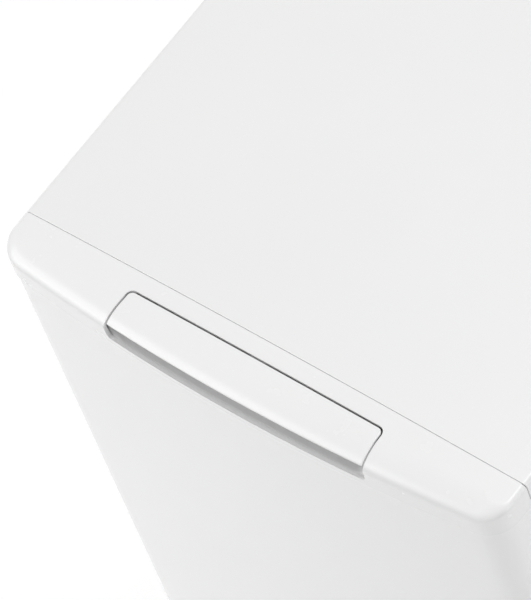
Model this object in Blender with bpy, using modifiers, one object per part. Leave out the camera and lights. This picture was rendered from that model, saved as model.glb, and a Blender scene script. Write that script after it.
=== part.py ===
"""Household trash compactor: a pull-out drawer under a screw-driven ram.

The origin is on the floor under the middle of the machine, +Z is up, the drawer
opens towards -Y and +X is the user's right. All sizes are in metres.
"""
import math

import bmesh
import bpy
from mathutils import Matrix, Vector

# Driving dimensions of the outer case
WIDTH = 0.381
DEPTH = 0.610
WORKTOP = 0.864          # height of the top at its crown
CROWN = 0.0037           # fall of the top from its middle to its side edges
GAP = 0.0003             # running gap kept between neighbouring pieces
SEAM = 0.0006            # visible seam between painted panels
SHEET = 0.0012           # painted steel sheet
FOLD = 0.012             # depth of a panel's folded edges
FIT = 0.0004             # clearance of what stands inside the painted panels
INSIDE = WIDTH / 2 - SHEET - FIT
FLOOR_GAP = 0.018        # clearance under the case
TOE_HEIGHT = 0.080
TOE_DEPTH = 0.017

# Front of the drawer
FRONT = -DEPTH / 2
DRAWER_BACK = -0.2626    # plane where the drawer front meets the cabinet
BOW = 0.0123             # how far the front stands out over its own corners
CORNER = 0.020           # plan radius of the drawer front's corners
ROLL_DEPTH = 0.0195      # the top trim rolls over into the front this far back
ROLL_DROP = 0.0080       # and this far down, as a quarter of an ellipse
SIDE_ROUND = 0.0035      # radius of the roll where it reaches the sides
TRIM_LOW = 0.8400        # lower edge of the top trim
TRIM_WALL = 0.0025
DRAWER_LOW = 0.082
PANEL_INSET = 0.0008     # the painted front stands this far behind the trim

# Lift handle in the trim
WINDOW_HALF = 0.0986
WINDOW_BACK = -0.2743
WINDOW_LOW = 0.8451
WINDOW_CORNER = 0.005
FLAP_GAP = 0.0012
FLAP_WALL = 0.0020
LIP_DROP = 0.0047        # how far the lip reaches below the crown
PIN_RADIUS = 0.0009
PIN_Y = WINDOW_BACK - FLAP_GAP - 0.006
PIN_Z = 0.85985
PIN_REACH = 0.0025       # how far the pin runs into the trim at each end
LUG_RADIUS = 0.0022
LUG_STARTS = (-0.090, -0.015, 0.060)
LUG_LENGTH = 0.030
TAIL_HALF = 0.006
TAIL_DROP = 0.0019       # underside of the tail below the pin's axis
RECESS_WALL = 0.0015
RECESS_LOW = 0.8425
RECESS_FRONT_EDGE = 0.8510
ROD_Y = -0.2715
ROD_RADIUS = 0.0015
HOOK_Y = -0.290
HOOK_Z = 0.792
HOOK_HALF = 0.0015       # half the thickness of the hook's plate
HOOK_EYE = 0.0055
HOOK_PIN = 0.0020
HOOK_END = -0.2445

# Cabinet
CABINET_FRONT = DRAWER_BACK + SEAM
BACK_FACE = 0.3005
CONSOLE_FRONT = 0.2155
SKIRT_LOW = 0.8410       # lower edge of the top's turned-down sides
BASE_FLOOR = 0.062       # upper face of the base plate
BASE_SHEET = 0.002
BASE_BACK = BACK_FACE - 2 * SHEET - 2 * GAP
BEARING_HOLE = 0.0153
SHAFT_HOLE = 0.008
TOP_RAIL_FRONT = CABINET_FRONT + 0.003
TOP_RAIL_LOW = 0.804
TOP_RAIL_HIGH = 0.837
TOP_RAIL_DEPTH = 0.020
KEEPER_DROP = 0.0032
KEEPER_DEPTH = 0.0065
KEEPER_HALF = 0.012
FILTER_HALF = 0.076
FILTER_LOW = 0.626
FILTER_HIGH = 0.734
FILTER_FIT = 0.002
FILTER_DEPTH = 0.022
DOOR_HALF = 0.082
DOOR_LOW = 0.616
DOOR_HIGH = 0.744
DOOR_FACES = (0.3015, 0.3040)
DOOR_AXIS = (0.0, 0.3028, 0.617)
GLAND_X = -0.120
GLAND_Z = 0.120
GLAND_HOLE = 0.0083
FOOT_PLACES = ((-0.165, -0.215), (0.165, -0.215), (-0.165, 0.262), (0.165, 0.262))

# Drawer slides, rollers and container
RAIL_OUT = 0.144         # outer face of the fixed channel rails
RAIL_IN = 0.128
RAIL_LOW = 0.066
RAIL_HIGH = 0.092
RAIL_WALL = 0.002
RAIL_FRONT = CABINET_FRONT + TOE_DEPTH + 0.0022
RAIL_BACK = 0.200
AXLE = 0.003
RUNNER_OUT = 0.124       # runners of the drawer carriage
RUNNER_IN = 0.110
RUNNER_LOW = 0.084
RUNNER_HIGH = 0.106
CARRIAGE_BACK = 0.165
LUG_DEPTH = 0.0075       # half the depth of the rear rollers' lugs
ROLLER = 0.010
ROLLER_LIFT = 0.0004     # running gap under the rear rollers
FRONT_AXLE_Z = RUNNER_LOW - GAP - ROLLER
REAR_AXLE_Z = RAIL_LOW + RAIL_WALL + ROLLER_LIFT + ROLLER
CABINET_ROLLER_Y = -0.231
DRAWER_ROLLER_Y = 0.1575
BIN_HALF = 0.138
BIN_FRONT = -0.238
BIN_BACK = 0.135
BIN_RIM = 0.500
BIN_WALL = 0.0025

# Screws, belt and ram
SCREW_X = 0.160
SCREW_Y = -0.0425
SCREW_RADIUS = 0.0095
JOURNAL = 0.006
SCREW_PULLEY = 0.022
MOTOR_PLACE = (0.0, 0.215)
MOTOR_PULLEY = 0.014
IDLER_PLACE = (0.045, -0.062)
IDLER_PULLEY = 0.013
PULLEY_LOW = 0.030
PULLEY_HIGH = 0.042
BELT_WALL = 0.0025
BRACE_LOW = 0.796
BRACE_SHEET = 0.012
DRIVE_HALF = 0.024       # half the depth of the brace and the ram's beam
BRACKET_HALF = 0.064
BRACKET_TOP = 0.0720
CAPACITOR_PLACE = (0.105, 0.235)
CAPACITOR_RADIUS = 0.018
CAPACITOR_TOP = 0.130
STUD = 0.004
RAM_HALF = 0.125
RAM_FRONT = -0.215
RAM_BACK = 0.110
RAM_LOW = 0.515
RAM_PLATE = 0.012
BEAM_LOW = 0.742
BEAM_HIGH = 0.772
BEAM_HALF = 0.182
NUT_HOLE = 0.0158
PLUNGER_HALF = 0.098
PLUNGER_INSET = 0.022
PLUNGER_WALL = 0.002

# Control console
FASCIA_TILT = math.radians(20)
FASCIA_LOW = (0.222, 0.8635)      # y and z where the sloping fascia starts
FASCIA_RUN = 0.066
CONSOLE_WALL = 0.0025
CONTROL_Y = 0.255
KNOB_X = 0.120
START_X = 0.045
STOP_X = 0.010
LENS_X = -0.030
BUTTON_HALF = (0.012, 0.007, 0.005)
BUTTON_GAP = 0.0006
BUTTON_SINK = 0.0015
LENS_WELL = 0.0042
THROUGH = 0.01           # half the depth of a cutter that goes right through

ALONG_X = (0.0, math.pi / 2, 0.0)
ALONG_Y = (math.pi / 2, 0.0, 0.0)
SIDES = {
    "-X": Vector((-1, 0, 0)),
    "+X": Vector((1, 0, 0)),
    "-Y": Vector((0, -1, 0)),
    "+Y": Vector((0, 1, 0)),
    "-Z": Vector((0, 0, -1)),
    "+Z": Vector((0, 0, 1)),
}

for old in list(bpy.data.objects):
    bpy.data.objects.remove(old, do_unlink=True)

MODEL = bpy.data.collections.new("trash_compactor")
CUTTERS = bpy.data.collections.new("cutters")
bpy.context.scene.collection.children.link(MODEL)
bpy.context.scene.collection.children.link(CUTTERS)


def finish(name, colour, roughness, metallic=0.0):
    """One painted, moulded or plated finish."""
    material = bpy.data.materials.new(name)
    material.use_nodes = True
    shader = material.node_tree.nodes["Principled BSDF"]
    shader.inputs["Base Color"].default_value = (*colour, 1.0)
    shader.inputs["Roughness"].default_value = roughness
    shader.inputs["Metallic"].default_value = metallic
    return material


WHITE_PAINT = finish("white_paint", (0.85, 0.85, 0.85), 0.35)
WHITE_PLASTIC = finish("white_plastic", (0.86, 0.86, 0.86), 0.28)
GREY_PLASTIC = finish("grey_plastic", (0.45, 0.46, 0.47), 0.5)
DARK_PLASTIC = finish("dark_plastic", (0.05, 0.05, 0.055), 0.5)
ZINC = finish("zinc_plate", (0.62, 0.63, 0.65), 0.4, 1.0)
STEEL = finish("bright_steel", (0.55, 0.56, 0.58), 0.3, 1.0)
CAST_METAL = finish("cast_metal", (0.33, 0.34, 0.35), 0.55, 1.0)
MOTOR_PAINT = finish("motor_paint", (0.08, 0.08, 0.09), 0.5)
RUBBER = finish("rubber", (0.03, 0.03, 0.03), 0.8)
LENS = finish("indicator_lens", (0.8, 0.25, 0.1), 0.15)
CHARCOAL = finish("filter_media", (0.06, 0.06, 0.06), 0.9)


# ---- shapes ----------------------------------------------------------------
def add(name, bm, material, place=(0.0, 0.0, 0.0), turn=(0.0, 0.0, 0.0)):
    """Make the piece called name from a bmesh."""
    mesh = bpy.data.meshes.new(name)
    bm.to_mesh(mesh)
    bm.free()
    mesh.shade_smooth()
    mesh.set_sharp_from_angle(angle=math.radians(40))
    mesh.materials.append(material)
    item = bpy.data.objects.new(name, mesh)
    item.location = place
    item.rotation_euler = turn
    MODEL.objects.link(item)
    return item


def hang(item, pivot):
    """Put a turning piece's origin on its joint's axis."""
    item.data.transform(Matrix.Translation(item.location - Vector(pivot)))
    item.location = pivot


def as_cutter(item):
    """Turn a piece into a tool that only shapes other pieces."""
    MODEL.objects.unlink(item)
    CUTTERS.objects.link(item)
    item.hide_render = True
    item.display_type = "WIRE"
    return item


def combine(item, tool, operation):
    """Cut a piece with a tool or weld a tool's shape onto it."""
    step = item.modifiers.new(tool.name, "BOOLEAN")
    step.operation = operation
    step.solver = "EXACT"
    step.object = as_cutter(tool)


def cut(item, *tools):
    for tool in tools:
        combine(item, tool, "DIFFERENCE")


def weld(item, *tools):
    for tool in tools:
        combine(item, tool, "UNION")


def cube_mesh(low, high):
    size = [b - a for a, b in zip(low, high)]
    bm = bmesh.new()
    bmesh.ops.create_cube(bm, size=1.0, matrix=Matrix.Diagonal((*size, 1.0)))
    bm.normal_update()
    return bm


def middle(low, high):
    return tuple((a + b) / 2 for a, b in zip(low, high))


def block(name, low, high, material):
    """A rectangular solid between two corners."""
    return add(name, cube_mesh(low, high), material, middle(low, high))


def rounded_block(name, low, high, radius, material, segments=2):
    item = block(name, low, high, material)
    bevel = item.modifiers.new("edges", "BEVEL")
    bevel.width = radius
    bevel.segments = segments
    return item


def thicken(item, thickness):
    """Give an open surface its sheet thickness, inwards from its faces."""
    solidify = item.modifiers.new("sheet", "SOLIDIFY")
    solidify.thickness = thickness
    solidify.offset = -1.0
    solidify.use_even_offset = True


def tray(name, low, high, open_sides, thickness, material):
    """A folded sheet box without the sides that are open."""
    bm = cube_mesh(low, high)
    gone = []
    for face in bm.faces:
        if any(face.normal.dot(SIDES[side]) > 0.9 for side in open_sides):
            gone.append(face)
    bmesh.ops.delete(bm, geom=gone, context="FACES")
    item = add(name, bm, material, middle(low, high))
    thicken(item, thickness)
    return item


def cylinder(name, radius, low, high, place, material, axis="Z", sides=24):
    """A round bar from low to high along one axis, through place in the other two."""
    bm = bmesh.new()
    bmesh.ops.create_cone(
        bm, cap_ends=True, segments=sides, radius1=radius, radius2=radius, depth=high - low
    )
    centre = (low + high) / 2
    if axis == "X":
        return add(name, bm, material, (centre, *place), ALONG_X)
    if axis == "Y":
        return add(name, bm, material, (place[0], centre, place[1]), ALONG_Y)
    return add(name, bm, material, (*place, centre))


def turned(name, profile, material, place, turn=(0.0, 0.0, 0.0), bored=False, steps=24):
    """A piece turned on a lathe: radius and height pairs, down the outer side."""
    bm = bmesh.new()
    points = [bm.verts.new((radius, 0.0, height)) for radius, height in profile]
    for first, second in zip(points, points[1:]):
        bm.edges.new((first, second))
    if bored:
        bm.edges.new((points[-1], points[0]))
    item = add(name, bm, material, place, turn)
    screw = item.modifiers.new("lathe", "SCREW")
    screw.steps = steps
    screw.render_steps = steps
    screw.use_merge_vertices = True
    screw.merge_threshold = 0.00001
    return item


def ring(name, outer, inner, low, high, material, place, turn=(0.0, 0.0, 0.0), steps=24):
    profile = [(outer, high), (outer, low), (inner, low), (inner, high)]
    return turned(name, profile, material, place, turn, bored=True, steps=steps)


def prism(name, outline, low, high, material, axis="Z"):
    """A flat outline given thickness along one axis."""
    bm = bmesh.new()
    if axis == "X":
        corners = [bm.verts.new((low, a, b)) for a, b in outline]
        step = Vector((high - low, 0, 0))
    else:
        corners = [bm.verts.new((a, b, low)) for a, b in outline]
        step = Vector((0, 0, high - low))
    bm.faces.new(corners)
    swept = bmesh.ops.extrude_face_region(bm, geom=bm.faces[:])
    moved = [part for part in swept["geom"] if isinstance(part, bmesh.types.BMVert)]
    bmesh.ops.translate(bm, verts=moved, vec=step)
    bmesh.ops.recalc_face_normals(bm, faces=bm.faces)
    return add(name, bm, material)


def arc(centre, radius, start, end, steps):
    """Points along an arc, angles in degrees."""
    points = []
    for index in range(steps + 1):
        angle = math.radians(start + (end - start) * index / steps)
        x = centre[0] + radius * math.cos(angle)
        y = centre[1] + radius * math.sin(angle)
        points.append((x, y))
    return points


# ---- curves that the top and the drawer front share -------------------------
BOW_RADIUS = ((WIDTH / 2) ** 2 + BOW**2) / (2 * BOW)
BOW_CENTRE = FRONT + BOW_RADIUS


def top_height(x):
    """Height of the crowned top at a distance x from the middle."""
    return WORKTOP - CROWN * (2 * x / WIDTH) ** 2


def front_face(x):
    """How far forward the bowed front reaches at x."""
    return BOW_CENTRE - math.sqrt(BOW_RADIUS**2 - x**2)


def front_path(front_steps=9, corner_steps=4):
    """Plan outline of the drawer front from its left rear to its right rear.

    Each entry holds the point, its outward normal and how far the outline has
    turned there from the side (0) to the front (1).
    """
    corner_x = WIDTH / 2 - CORNER
    corner_y = BOW_CENTRE - math.sqrt((BOW_RADIUS - CORNER) ** 2 - corner_x**2)
    meet = math.atan2(corner_y - BOW_CENTRE, corner_x)
    right = []
    for index in range(front_steps + 1):
        angle = -math.pi / 2 + (meet + math.pi / 2) * index / front_steps
        normal = Vector((math.cos(angle), math.sin(angle)))
        right.append((Vector((0, BOW_CENTRE)) + BOW_RADIUS * normal, normal, 1.0))
    for index in range(1, corner_steps + 1):
        turned_by = 1 - index / corner_steps
        normal = Vector((math.cos(meet * turned_by), math.sin(meet * turned_by)))
        right.append((Vector((corner_x, corner_y)) + CORNER * normal, normal, turned_by))
    right.append((Vector((WIDTH / 2, DRAWER_BACK)), Vector((1.0, 0.0)), 0.0))
    left = []
    for point, normal, turned_by in reversed(right[1:]):
        mirrored = Vector((-point.x, point.y))
        left.append((mirrored, Vector((-normal.x, normal.y)), turned_by))
    return left + right


def skin(rows, closing=()):
    """Faces between neighbouring rows of points, and faces over closing outlines."""
    bm = bmesh.new()
    net = [[bm.verts.new(point) for point in row] for row in rows]
    for lower, upper in zip(net, net[1:]):
        for index in range(len(lower) - 1):
            bm.faces.new((lower[index], lower[index + 1], upper[index + 1], upper[index]))
    for outline in closing:
        bm.faces.new([net[row][column] for row, column in outline])
    bmesh.ops.remove_doubles(bm, verts=bm.verts, dist=0.000001)
    bmesh.ops.dissolve_degenerate(bm, dist=0.000001, edges=bm.edges)
    bmesh.ops.recalc_face_normals(bm, faces=bm.faces)
    return bm


# ---- cabinet ----------------------------------------------------------------
def make_base():
    """Base pan with its kick plate and four levelling feet."""
    toe = CABINET_FRONT + TOE_DEPTH
    pan = tray(
        "base_pan",
        (-INSIDE, toe + SHEET + GAP, FLOOR_GAP),
        (INSIDE, BASE_BACK, BASE_FLOOR),
        ("-Z",),
        BASE_SHEET,
        ZINC,
    )
    low, high = BASE_FLOOR - THROUGH, BASE_FLOOR + THROUGH
    for side in (-1, 1):
        place = (side * SCREW_X, SCREW_Y)
        cut(pan, cylinder("bearing_hole", BEARING_HOLE, low, high, place, ZINC))
    cut(pan, cylinder("shaft_hole", SHAFT_HOLE, low, high, MOTOR_PLACE, ZINC))
    block(
        "kick_plate",
        (-INSIDE, toe, FLOOR_GAP),
        (INSIDE, toe + SHEET, TOE_HEIGHT),
        WHITE_PAINT,
    )
    names = ("front_left_foot", "front_right_foot", "rear_left_foot", "rear_right_foot")
    stem_top = BASE_FLOOR - BASE_SHEET - GAP
    foot = [
        (0.0, stem_top),
        (0.004, stem_top),
        (0.004, 0.014),
        (0.009, 0.014),
        (0.009, 0.008),
        (0.018, 0.006),
        (0.018, 0.0),
        (0.0, 0.0),
    ]
    for name, (x, y) in zip(names, FOOT_PLACES):
        turned(name, foot, GREY_PLASTIC, (x, y, 0.0), steps=16)


def make_side(name, side):
    """Painted side panel with folded edges and a toe notch."""
    outer = side * WIDTH / 2
    inner = side * (WIDTH / 2 - FOLD)
    low = (min(outer, inner), CABINET_FRONT, FLOOR_GAP)
    high = (max(outer, inner), BACK_FACE - SHEET - GAP, SKIRT_LOW - SEAM)
    inward = "-X" if side > 0 else "+X"
    panel = tray(name, low, high, (inward, "-Z"), SHEET, WHITE_PAINT)
    notch_low = (min(outer, inner) - THROUGH, CABINET_FRONT - THROUGH, 0.0)
    notch_high = (
        max(outer, inner) + THROUGH,
        CABINET_FRONT + TOE_DEPTH - GAP,
        TOE_HEIGHT + GAP,
    )
    cut(panel, block("toe_notch", notch_low, notch_high, WHITE_PAINT))


def make_back():
    """Rear panel, the odour filter in its window and the cord's gland."""
    half = WIDTH / 2 - GAP
    panel = block(
        "back_panel",
        (-half, BACK_FACE - SHEET, FLOOR_GAP),
        (half, BACK_FACE, SKIRT_LOW - SEAM),
        WHITE_PAINT,
    )
    low_y, high_y = BACK_FACE - THROUGH, BACK_FACE + THROUGH
    window_low = (-FILTER_HALF, low_y, FILTER_LOW)
    window_high = (FILTER_HALF, high_y, FILTER_HIGH)
    cut(panel, block("filter_window", window_low, window_high, WHITE_PAINT))
    hole_place = (GLAND_X, GLAND_Z)
    cut(panel, cylinder("gland_hole", GLAND_HOLE, low_y, high_y, hole_place, WHITE_PAINT, "Y", 16))
    gland = [
        (0.0125, 0.0040),
        (0.0125, GAP),
        (0.0080, GAP),
        (0.0080, -0.006),
        (0.0042, -0.006),
        (0.0042, 0.0040),
    ]
    gland_place = (GLAND_X, BACK_FACE, GLAND_Z)
    turned("cord_gland", gland, DARK_PLASTIC, gland_place, (-math.pi / 2, 0, 0), True, 16)
    media_back = BACK_FACE - SHEET - GAP
    media_half = FILTER_HALF - FILTER_FIT
    block(
        "odour_filter",
        (-media_half, media_back - FILTER_DEPTH, FILTER_LOW + FILTER_FIT),
        (media_half, media_back, FILTER_HIGH - FILTER_FIT),
        CHARCOAL,
    )
    door = rounded_block(
        "filter_door",
        (-DOOR_HALF, DOOR_FACES[0], DOOR_LOW),
        (DOOR_HALF, DOOR_FACES[1], DOOR_HIGH),
        0.0008,
        WHITE_PLASTIC,
        1,
    )
    hang(door, DOOR_AXIS)


def make_top():
    """Crowned worktop with turned-down edges."""
    half = WIDTH / 2
    profile = [(-half, SKIRT_LOW)]
    for degrees in (180, 150, 120, 90):
        angle = math.radians(degrees)
        x = -half + SIDE_ROUND * (1 + math.cos(angle))
        profile.append((x, top_height(x) - SIDE_ROUND * (1 - math.sin(angle))))
    for index in range(1, 12):
        x = -half + SIDE_ROUND + (WIDTH - 2 * SIDE_ROUND) * index / 12
        profile.append((x, top_height(x)))
    profile += [(-x, z) for x, z in reversed(profile[:5])]
    front_row = [(x, CABINET_FRONT, z) for x, z in profile]
    back_row = [(x, CONSOLE_FRONT - SEAM, z) for x, z in profile]
    count = len(profile)
    ends = [[(row, column) for column in range(count)] for row in (0, 1)]
    top = add("top_panel", skin([front_row, back_row], ends), WHITE_PAINT)
    thicken(top, SHEET)


def make_frame():
    """Cross members that tie the sides together, and the latch's keeper."""
    rail_back = TOP_RAIL_FRONT + TOP_RAIL_DEPTH
    block(
        "top_front_rail",
        (-INSIDE + FOLD, TOP_RAIL_FRONT, TOP_RAIL_LOW),
        (INSIDE - FOLD, rail_back, TOP_RAIL_HIGH),
        ZINC,
    )
    brace_high = BRACE_LOW + BRACE_SHEET
    brace = block(
        "upper_drive_brace",
        (-INSIDE, SCREW_Y - DRIVE_HALF, BRACE_LOW),
        (INSIDE, SCREW_Y + DRIVE_HALF, brace_high),
        ZINC,
    )
    low, high = BRACE_LOW - THROUGH, brace_high + THROUGH
    for side in (-1, 1):
        place = (side * SCREW_X, SCREW_Y)
        cut(brace, cylinder("brace_hole", BEARING_HOLE, low, high, place, ZINC))
    block(
        "latch_keeper",
        (-KEEPER_HALF, TOP_RAIL_FRONT, TOP_RAIL_LOW - KEEPER_DROP),
        (KEEPER_HALF, TOP_RAIL_FRONT + KEEPER_DEPTH, TOP_RAIL_LOW - GAP),
        STEEL,
    )


def make_rail(name, side):
    """Fixed channel rail, open towards the drawer, with the front roller's axle."""
    low_x, high_x = sorted((side * RAIL_IN, side * RAIL_OUT))
    low = (low_x, RAIL_FRONT, RAIL_LOW)
    high = (high_x, RAIL_BACK, RAIL_HIGH)
    inward = "-X" if side > 0 else "+X"
    rail = tray(name, low, high, (inward, "-Y", "+Y"), RAIL_WALL, ZINC)
    inset = RAIL_WALL / 2
    axle_low, axle_high = sorted((side * (RUNNER_IN + inset), side * (RAIL_OUT - inset)))
    place = (CABINET_ROLLER_Y, FRONT_AXLE_Z)
    weld(rail, cylinder("axle", AXLE, axle_low, axle_high, place, ZINC, "X", 16))


def make_cabinet():
    make_base()
    make_side("left_side_panel", -1)
    make_side("right_side_panel", 1)
    make_back()
    make_top()
    make_frame()
    make_rail("left_outer_rail", -1)
    make_rail("right_outer_rail", 1)


# ---- drive --------------------------------------------------------------------
def belt_path(pulleys):
    """Points of a belt's inner face round a counterclockwise run of pulleys."""
    angles = []
    count = len(pulleys)
    for index in range(count):
        x, y, radius = pulleys[index]
        next_x, next_y, next_radius = pulleys[(index + 1) % count]
        heading = math.atan2(next_y - y, next_x - x)
        span = math.hypot(next_x - x, next_y - y)
        angles.append(heading - math.acos((radius - next_radius) / span))
    points = []
    for index in range(count):
        x, y, radius = pulleys[index]
        start = angles[index - 1]
        end = angles[index]
        while end < start:
            end += 2 * math.pi
        steps = max(1, math.ceil((end - start) / math.radians(16)))
        points += arc((x, y), radius, math.degrees(start), math.degrees(end), steps)
    return points


def make_belt():
    """Ribbed belt that joins the motor, the idler and both screws."""
    clearance = GAP + BELT_WALL
    pulleys = [
        (-SCREW_X, SCREW_Y, SCREW_PULLEY + clearance),
        (*IDLER_PLACE, IDLER_PULLEY + clearance),
        (SCREW_X, SCREW_Y, SCREW_PULLEY + clearance),
        (*MOTOR_PLACE, MOTOR_PULLEY + clearance),
    ]
    points = belt_path(pulleys)
    points.append(points[0])
    low_row = [(x, y, PULLEY_LOW + 0.0022) for x, y in points]
    high_row = [(x, y, PULLEY_HIGH - 0.0022) for x, y in points]
    belt = add("drive_belt", skin([low_row, high_row]), RUBBER)
    thicken(belt, BELT_WALL)


def pulley_profile(radius, bore):
    """A belt pulley's section: two low flanges beside the belt's track."""
    rim = radius + 0.0015
    return [
        (rim, PULLEY_HIGH),
        (rim, PULLEY_HIGH - 0.0015),
        (radius, PULLEY_HIGH - 0.0018),
        (radius, PULLEY_LOW + 0.0018),
        (rim, PULLEY_LOW + 0.0015),
        (rim, PULLEY_LOW),
        (bore, PULLEY_LOW),
        (bore, PULLEY_HIGH),
    ]


def make_screw(word, side):
    """One power screw with its pulley, bearings and the nut that it drives."""
    place = (side * SCREW_X, SCREW_Y, 0.0)
    screw = [
        (0.0, BRACE_LOW + 0.016),
        (JOURNAL, BRACE_LOW + 0.016),
        (JOURNAL, BRACE_LOW - 0.004),
        (SCREW_RADIUS, BRACE_LOW - 0.006),
        (SCREW_RADIUS, 0.0665),
        (JOURNAL, 0.0665),
        (JOURNAL, PULLEY_LOW - 0.004),
        (0.0, PULLEY_LOW - 0.004),
    ]
    turned("power_screw_" + word, screw, STEEL, place, steps=20)
    bore = JOURNAL + GAP
    track = pulley_profile(SCREW_PULLEY, bore)
    turned("screw_pulley_" + word, track, CAST_METAL, place, bored=True)
    lower = [
        (0.022, 0.0660),
        (0.022, BASE_FLOOR + GAP),
        (0.015, BASE_FLOOR + GAP),
        (0.015, 0.050),
        (bore, 0.050),
        (bore, 0.0660),
    ]
    turned("lower_bearing_" + word, lower, CAST_METAL, place, bored=True, steps=20)
    brace_low = BRACE_LOW - GAP
    upper = [
        (0.015, BRACE_LOW + 0.013),
        (0.015, brace_low),
        (0.020, brace_low),
        (0.020, BRACE_LOW - 0.003),
        (bore, BRACE_LOW - 0.003),
        (bore, BRACE_LOW + 0.013),
    ]
    turned("upper_bearing_" + word, upper, CAST_METAL, place, bored=True, steps=20)
    nut = [
        (0.0155, BEAM_HIGH + 0.010),
        (0.0155, BEAM_HIGH + GAP + 0.004),
        (0.0200, BEAM_HIGH + GAP + 0.004),
        (0.0200, BEAM_HIGH + GAP),
        (0.0155, BEAM_HIGH + GAP),
        (0.0155, BEAM_LOW - 0.004),
        (SCREW_RADIUS + GAP, BEAM_LOW - 0.004),
        (SCREW_RADIUS + GAP, BEAM_HIGH + 0.010),
    ]
    turned("drive_nut_" + word, nut, GREY_PLASTIC, place, bored=True, steps=20)


def make_motor():
    """Motor on its bracket, with the pulley on its shaft, and its capacitor."""
    x, y = MOTOR_PLACE
    bracket = tray(
        "motor_bracket",
        (x - BRACKET_HALF, y - BRACKET_HALF, BASE_FLOOR + GAP),
        (x + BRACKET_HALF, y + BRACKET_HALF, BRACKET_TOP),
        ("-Z", "-X", "+X"),
        0.002,
        ZINC,
    )
    low, high = BRACKET_TOP - THROUGH, BRACKET_TOP + THROUGH
    cut(bracket, cylinder("bracket_hole", SHAFT_HOLE, low, high, MOTOR_PLACE, ZINC))
    body = [
        (0.0, 0.200),
        (0.022, 0.200),
        (0.022, 0.192),
        (0.046, 0.188),
        (0.056, 0.178),
        (0.056, 0.094),
        (0.048, 0.082),
        (0.030, BRACKET_TOP + GAP),
        (0.0, BRACKET_TOP + GAP),
    ]
    turned("drive_motor", body, MOTOR_PAINT, (x, y, 0.0), steps=28)
    shaft_top = BRACKET_TOP - GAP
    pulley = [(0.0, shaft_top), (0.0050, shaft_top), (0.0050, PULLEY_HIGH)]
    pulley += pulley_profile(MOTOR_PULLEY, 0.0)[:-1]
    turned("motor_pulley", pulley, STEEL, (x, y, 0.0), steps=20)
    cylinder(
        "start_capacitor",
        CAPACITOR_RADIUS,
        BASE_FLOOR + GAP,
        CAPACITOR_TOP,
        CAPACITOR_PLACE,
        GREY_PLASTIC,
        sides=20,
    )


def make_idler():
    """Belt tensioner: a plate and stud under the base, and its pulley."""
    x, y = IDLER_PLACE
    high = BASE_FLOOR - BASE_SHEET - GAP
    plate_low = (x - 0.020, y - 0.014, high - 0.003)
    bracket = block("idler_bracket", plate_low, (x + 0.020, y + 0.040, high), ZINC)
    stud_ends = (PULLEY_LOW - 0.003, high - 0.001)
    weld(bracket, cylinder("idler_stud", STUD, *stud_ends, IDLER_PLACE, ZINC, sides=16))
    profile = pulley_profile(IDLER_PULLEY, STUD + GAP)
    turned("idler_pulley", profile, GREY_PLASTIC, (x, y, 0.0), bored=True, steps=20)


def make_drive():
    make_screw("left", -1)
    make_screw("right", 1)
    make_belt()
    make_motor()
    make_idler()
    limit_low = (0.086, -0.058, 0.7795)
    limit_high = (0.114, -0.042, 0.7955)
    rounded_block("top_limit_switch", limit_low, limit_high, 0.001, DARK_PLASTIC, 1)
    drawer_low = (-0.172, -0.2375, 0.700)
    drawer_high = (-0.158, -0.2255, 0.728)
    rounded_block("drawer_switch", drawer_low, drawer_high, 0.001, DARK_PLASTIC, 1)


# ---- ram ------------------------------------------------------------------------
def make_ram():
    """Pressing plate, its plunger box and the beam between the two nuts."""
    rounded_block(
        "ram_plate",
        (-RAM_HALF, RAM_FRONT, RAM_LOW),
        (RAM_HALF, RAM_BACK, RAM_LOW + RAM_PLATE),
        0.002,
        STEEL,
        1,
    )
    tray(
        "ram_plunger",
        (-PLUNGER_HALF, RAM_FRONT + PLUNGER_INSET, RAM_LOW + RAM_PLATE + GAP),
        (PLUNGER_HALF, RAM_BACK - PLUNGER_INSET, BEAM_LOW - GAP),
        ("+Z",),
        PLUNGER_WALL,
        ZINC,
    )
    beam = block(
        "ram_crossbeam",
        (-BEAM_HALF, SCREW_Y - DRIVE_HALF, BEAM_LOW),
        (BEAM_HALF, SCREW_Y + DRIVE_HALF, BEAM_HIGH),
        ZINC,
    )
    low, high = BEAM_LOW - THROUGH, BEAM_HIGH + THROUGH
    for side in (-1, 1):
        place = (side * SCREW_X, SCREW_Y)
        cut(beam, cylinder("nut_hole", NUT_HOLE, low, high, place, ZINC))


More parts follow.
